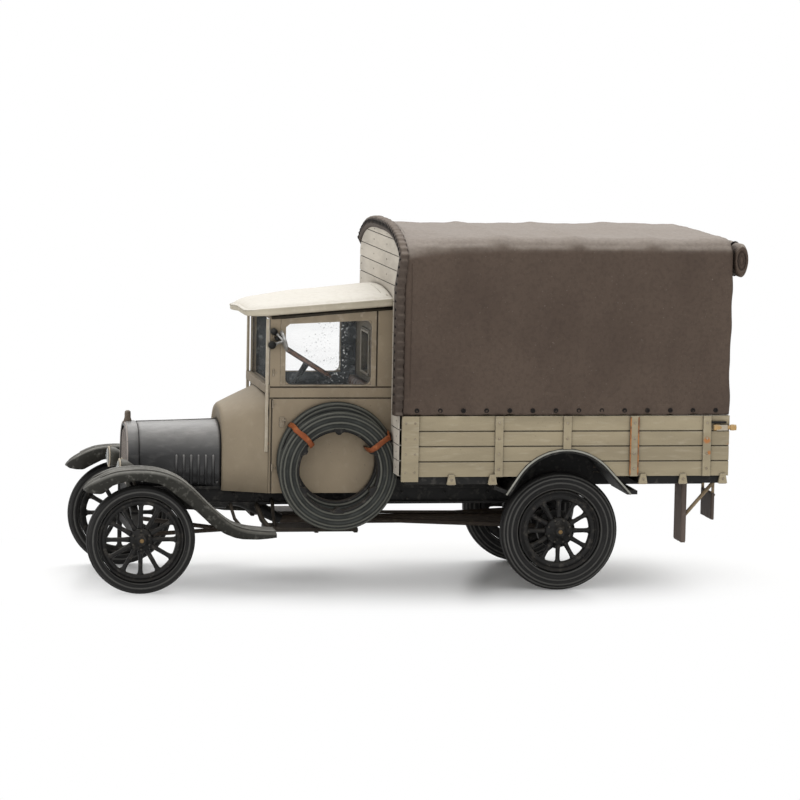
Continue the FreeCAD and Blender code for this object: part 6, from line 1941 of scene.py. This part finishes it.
@dataclass
class Tilt:
    """The moulded canvas tilt: skin with slack folds, laced front hem and wavy lower edge."""

    front_x: float = 1.62
    rear_x: float = -27.0
    half: float = 10.9
    bottom_z: float = 15.45
    spring_z: float = 28.9
    shoulder: float = 1.75
    crown: float = 0.1
    wall: float = 0.42
    round_spring_z: float = 28.5
    round_rise: float = 2.75
    hem_front_x: float = 2.05
    hem_width: float = 0.75
    hem_half: float = 11.2
    hem_depth: float = 1.0
    hem_spring_z: float = 28.55
    hem_rise: float = 3.0
    hoops: tuple[float, ...] = (-6.7, -13.4, -20.1)
    eyelets: tuple[float, ...] = tuple(0.42 - 2.01 * step for step in range(14))
    ties: tuple[float, ...] = (-8.4, -2.8, 2.8, 8.4)
    columns: int = 190

    def arch(self, stations: int) -> list[ArchPoint]:
        """Points over the square arch from the left foot to the right one, each with its outward direction.

        Args:
            stations: How many points there are.

        Returns:
            Y and Z of each point and of its direction.
        """
        side = self.spring_z - self.bottom_z
        corner = self.shoulder * math.pi / 2
        flat = self.half - self.shoulder
        whole = 2 * (side + corner + flat)
        points = []
        for station in range(stations):
            run = whole * station / (stations - 1)
            hand = -1 if run > whole / 2 else 1
            near = whole - run if run > whole / 2 else run
            angle = min(math.pi / 2, max(0.0, (near - side) / self.shoulder))
            y = flat + self.shoulder * math.cos(angle) - max(0.0, near - side - corner)
            z = min(near, side) + self.bottom_z + self.shoulder * math.sin(angle)
            z += self.crown * (1 - (y / self.half) ** 2) * math.sin(angle)
            points.append((hand * y, z, hand * math.cos(angle), math.sin(angle)))
        return points

    def bow(self, half: float, spring: float, rise: float, stations: int) -> list[ArchPoint]:
        """Points over a rounder arch, in the same form.

        Args:
            half: Half of the arch's width.
            spring: The height where the rounding starts.
            rise: How far the top's middle stands above it.
            stations: How many points there are.

        Returns:
            Y and Z of each point and of its direction.
        """
        line = [(half, self.bottom_z)]
        for step in range(201):
            angle = math.pi * step / 200
            cosine = math.cos(angle)
            line.append((math.copysign(abs(cosine) ** (2 / 2.8), cosine) * half,
                         spring + rise * math.sin(angle) ** (2 / 1.6)))
        line.append((-half, self.bottom_z))
        runs = [0.0]
        for first, second in zip(line, line[1:]):
            runs.append(runs[-1] + math.dist(first, second))
        points, index = [], 0
        for station in range(stations):
            run = runs[-1] * station / (stations - 1)
            while index < len(line) - 2 and runs[index + 1] < run:
                index += 1
            (y1, z1), (y2, z2) = line[index], line[index + 1]
            share = (run - runs[index]) / max(runs[index + 1] - runs[index], 1e-9)
            y, z = y1 + (y2 - y1) * share, z1 + (z2 - z1) * share
            out = Vector((z2 - z1, y1 - y2)).normalized()
            out += Vector((y / half, max(0.0, (z - spring) / rise))).normalized()
            points.append((y, z, *out.normalized()))
        return points

    def slack(self, x: float, y: float, z: float) -> float:
        """How far the canvas stands in or out at a place.

        Args:
            x: The place along X.
            y: The place along Y.
            z: The place along Z.

        Returns:
            The distance in millimetres, outwards positive.
        """
        broad = noise.noise(Vector((x * 0.16, y * 0.12, z * 0.14 + 4)))
        folds = noise.noise(Vector((x * 0.5, y * 0.22 + 7, z * 0.2)))
        fine = noise.noise(Vector((x * 1.3, y * 1.1, z * 1.2 + 9)))
        lift = 0.13 * broad + 0.07 * folds + 0.03 * fine
        if z > self.spring_z + 1.0:
            for hoop in self.hoops:
                lift += 0.13 * math.exp(-((x - hoop) / 0.8) ** 2)
            lift -= 0.1
        return lift

    def skin(self) -> bpy.types.Object:
        """Builds the skin with its thickness, wavy foot and curled rear edge.

        Returns:
            The piece.
        """
        stations = 210
        arches = list(zip(self.arch(stations), self.bow(self.half, self.round_spring_z, self.round_rise, stations)))
        points: list[Point] = []
        for layer in (0, 1):
            for column in range(self.columns + 1):
                share = column / self.columns
                x = self.front_x + (self.rear_x - self.front_x) * share
                near = min(abs(x - eyelet) for eyelet in self.eyelets)
                fade = math.exp(-(self.front_x - x) / 3.0)
                tail = max(0.0, 1 - (x - self.rear_x) / 0.5)
                foot_lift = 0.1 * math.cos(math.pi * min(near / 1.01, 1.0))
                foot_lift = max(0.0, foot_lift + 0.12 * noise.noise(Vector((x * 0.6, 2, 0)))) + 0.03
                for square, rounded in arches:
                    y, z, out_y, out_z = (a + (b - a) * fade for a, b in zip(square, rounded))
                    foot = max(0.0, 1 - (z - self.bottom_z) / 1.3)
                    lift = self.slack(x, y, z) * min(1.0, share * 14 + 0.1) - 0.16 * tail ** 2
                    lift += foot ** 2 * (0.1 + 0.09 * math.cos(2 * math.pi * near / 2.02))
                    lift = min(lift, 0.22) - self.wall * layer
                    points.append((x + 0.12 * tail * noise.noise(Vector((0, y * 0.5, z * 0.5))) + 0.06 * tail,
                                   y + out_y * lift, z + out_z * lift + foot_lift * foot))
        return make_piece("canvas_skin", points, slab(self.columns + 1, stations), Finishes.canvas)

    def hem(self) -> None:
        """Builds the thick laced hem round the headboard, thinner down its far side."""
        stations, around = 420, 20
        points: list[Point] = []
        outline = self.bow(self.hem_half, self.hem_spring_z, self.hem_rise, stations)
        for station, (y, z, out_y, out_z) in enumerate(reversed(outline)):
            lace = math.cos(station / (stations - 1) * 2 * math.pi * 66)
            swell = 1 + 0.09 * lace + 0.12 * noise.noise(Vector((y * 0.9, z * 0.9, 1)))
            lower = min(1.0, max(0.0, (29.2 - z) / 3))
            depth, front = self.hem_depth + 0.7 * lower, self.hem_front_x + 0.34 * lower
            half_x = (self.hem_width + 0.08 * lower) / 2
            if y < 0:
                fade = min(1.0, max(0.0, (z - 27.6) / 1.6))
                depth, front = 0.4 + (self.hem_depth - 0.4) * fade, 1.38 + (self.hem_front_x - 1.38) * fade
            for step in range(around):
                angle = 2 * math.pi * step / around
                across = math.copysign(abs(math.cos(angle)) ** 0.55, math.cos(angle))
                up = math.copysign(abs(math.sin(angle)) ** 0.65, math.sin(angle))
                lift = depth / 2 * (up * (swell if up > 0 else 1.0) - 1)
                points.append((front - half_x + half_x * across * (swell if across < 0 else 1.0) * 0.99,
                               y + out_y * lift, z + out_z * lift))
        make_piece("canvas_front_hem", points, grid(stations, around, around=True, ends=True), Finishes.hem)

    def lining(self) -> None:
        """Builds the turned-in lip between the hem and the headboard."""
        outline = self.bow(self.hem_half - 0.3, 28.4, 2.85, 200)
        points: list[Point] = []
        for y, z, out_y, out_z in reversed(outline):
            ragged = 0.08 * noise.noise(Vector((y, z, 3)))
            for x, lift in ((1.0, 0.0), (1.5, -0.06), (1.52, -0.3), (1.5, -0.5 + ragged), (1.3, -0.56 + ragged),
                            (1.0, -0.4)):
                points.append((x, y + out_y * lift, z + out_z * lift))
        make_piece("canvas_hem_lip", points, grid(len(outline), 6, around=True, ends=True), Finishes.canvas)

    def lacing(self) -> None:
        """Builds the slits of the front hem and the eyelets of the lower edge."""
        slits, eyes = Trim(), Trim()
        for y, z, out_y, out_z in self.bow(self.hem_half, self.hem_spring_z, self.hem_rise, 141)[1::2]:
            if z < self.bottom_z + 0.8 or (y < 0 and z < 29.2):
                continue
            out = Vector((0, out_y, out_z))
            lower = min(1.0, max(0.0, (29.2 - z) / 3))
            path = [tuple(Vector((1.94 + 0.32 * lower, y, z)) - out * (inset + 0.12 * lower))
                    for inset in (0.72, 0.56, 0.36, 0.16)]
            slits.tube(path, 0.1, 8, [0.08, 0.17, 0.2, 0.08])
        slits.build("hem_lacing", Finishes.lace, True)
        z = self.bottom_z + 0.42
        for side, _ in SIDES:
            y = side * (self.half + 0.1)
            for x in self.eyelets:
                eyes.hoop((x, y + side * 0.02, z), (0.15, 0, 0), (0, 0, 0.15), 0.06, 12, 6)
                eyes.stud((x, y - side * 0.03, z), (0, side, 0), 0.12, 0.04, 8, flat=True)
        eyes.build("hem_eyelets", Finishes.lace, True)
        log.info("built the lacing and eyelets")

    def roll(self) -> bpy.types.Object:
        """Builds the rolled rear curtain: a spiral of cloth with a slack surface, and its ties.

        Returns:
            The piece.
        """
        stations, around = 150, 40
        middle_x, middle_z = -27.725, 28.75
        turns = [2 * math.pi * step / around for step in range(around)]
        points: list[Point] = []
        for station in range(stations + 1):
            share = station / stations
            y = -self.half + 2 * self.half * share
            end = min(share, 1 - share)
            shrink = 1.0 if end > 0.02 else 0.82 + 9 * end
            tie = 0.05 * sum(math.exp(-((y - place) / 0.35) ** 2) for place in self.ties)
            for step, angle in enumerate(turns):
                slack = 0.03 * noise.noise(Vector((math.cos(angle) * 1.5, y * 0.6, math.sin(angle) * 1.5)))
                size = (0.93 + slack - (0.03 if 4 < step < 9 else 0.0) - tie) * shrink
                z = middle_z + 1.55 * size * math.sin(angle) + 0.08 * noise.noise(Vector((3, y * 0.3, 0)))
                points.append((max(middle_x + 0.70 * size * math.cos(angle), -28.42), y, z))
        faces = grid(stations + 1, around, around=True)
        for first, sign in ((0, -1), (stations * around, 1)):
            rings = [list(range(first, first + around))]
            for share, inset in ((0.72, 0.0), (0.6, 0.25), (0.45, 0.05), (0.3, 0.22), (0.12, 0.1)):
                rings.append(list(range(len(points), len(points) + around)))
                points += [(middle_x + 0.6 * share * math.cos(angle), sign * (self.half - inset),
                            middle_z + 1.3 * share * math.sin(angle)) for angle in turns]
            for outer, inner in zip(rings, rings[1:]):
                for step in range(around):
                    after = (step + 1) % around
                    faces.append((outer[step], outer[after], inner[after], inner[step]))
            faces.append(tuple(rings[-1]))
        piece = make_piece("curtain_roll_cloth", points, faces, Finishes.canvas)
        ties = Trim()
        for place in self.ties:
            ties.hoop((middle_x, place, middle_z), (0.66, 0, 0), (0, 0, 1.44), 0.09, 24, 6)
        ties.build("curtain_ties", Finishes.lace, True)
        return piece

    def build(self) -> None:
        """Builds the tilt and its rolled curtain."""
        skin = self.skin()
        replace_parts(skin, "canvas_tilt")
        self.hem()
        self.lining()
        self.lacing()
        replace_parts(self.roll(), "curtain_roll")
        log.info("built the tilt's skin, hem, lip and rolled curtain")


def main() -> None:
    """Builds the whole scene."""
    logging.basicConfig(level=logging.INFO, format="%(message)s")
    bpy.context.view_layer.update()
    Studio().build()
    Wheels().build()
    SpareTyres().build()
    Chassis().build()
    Nose().build()
    Cab().build()
    Bed().build()
    Tilt().build()
    log.info("built every piece")


if __name__ == "__main__":
    main()
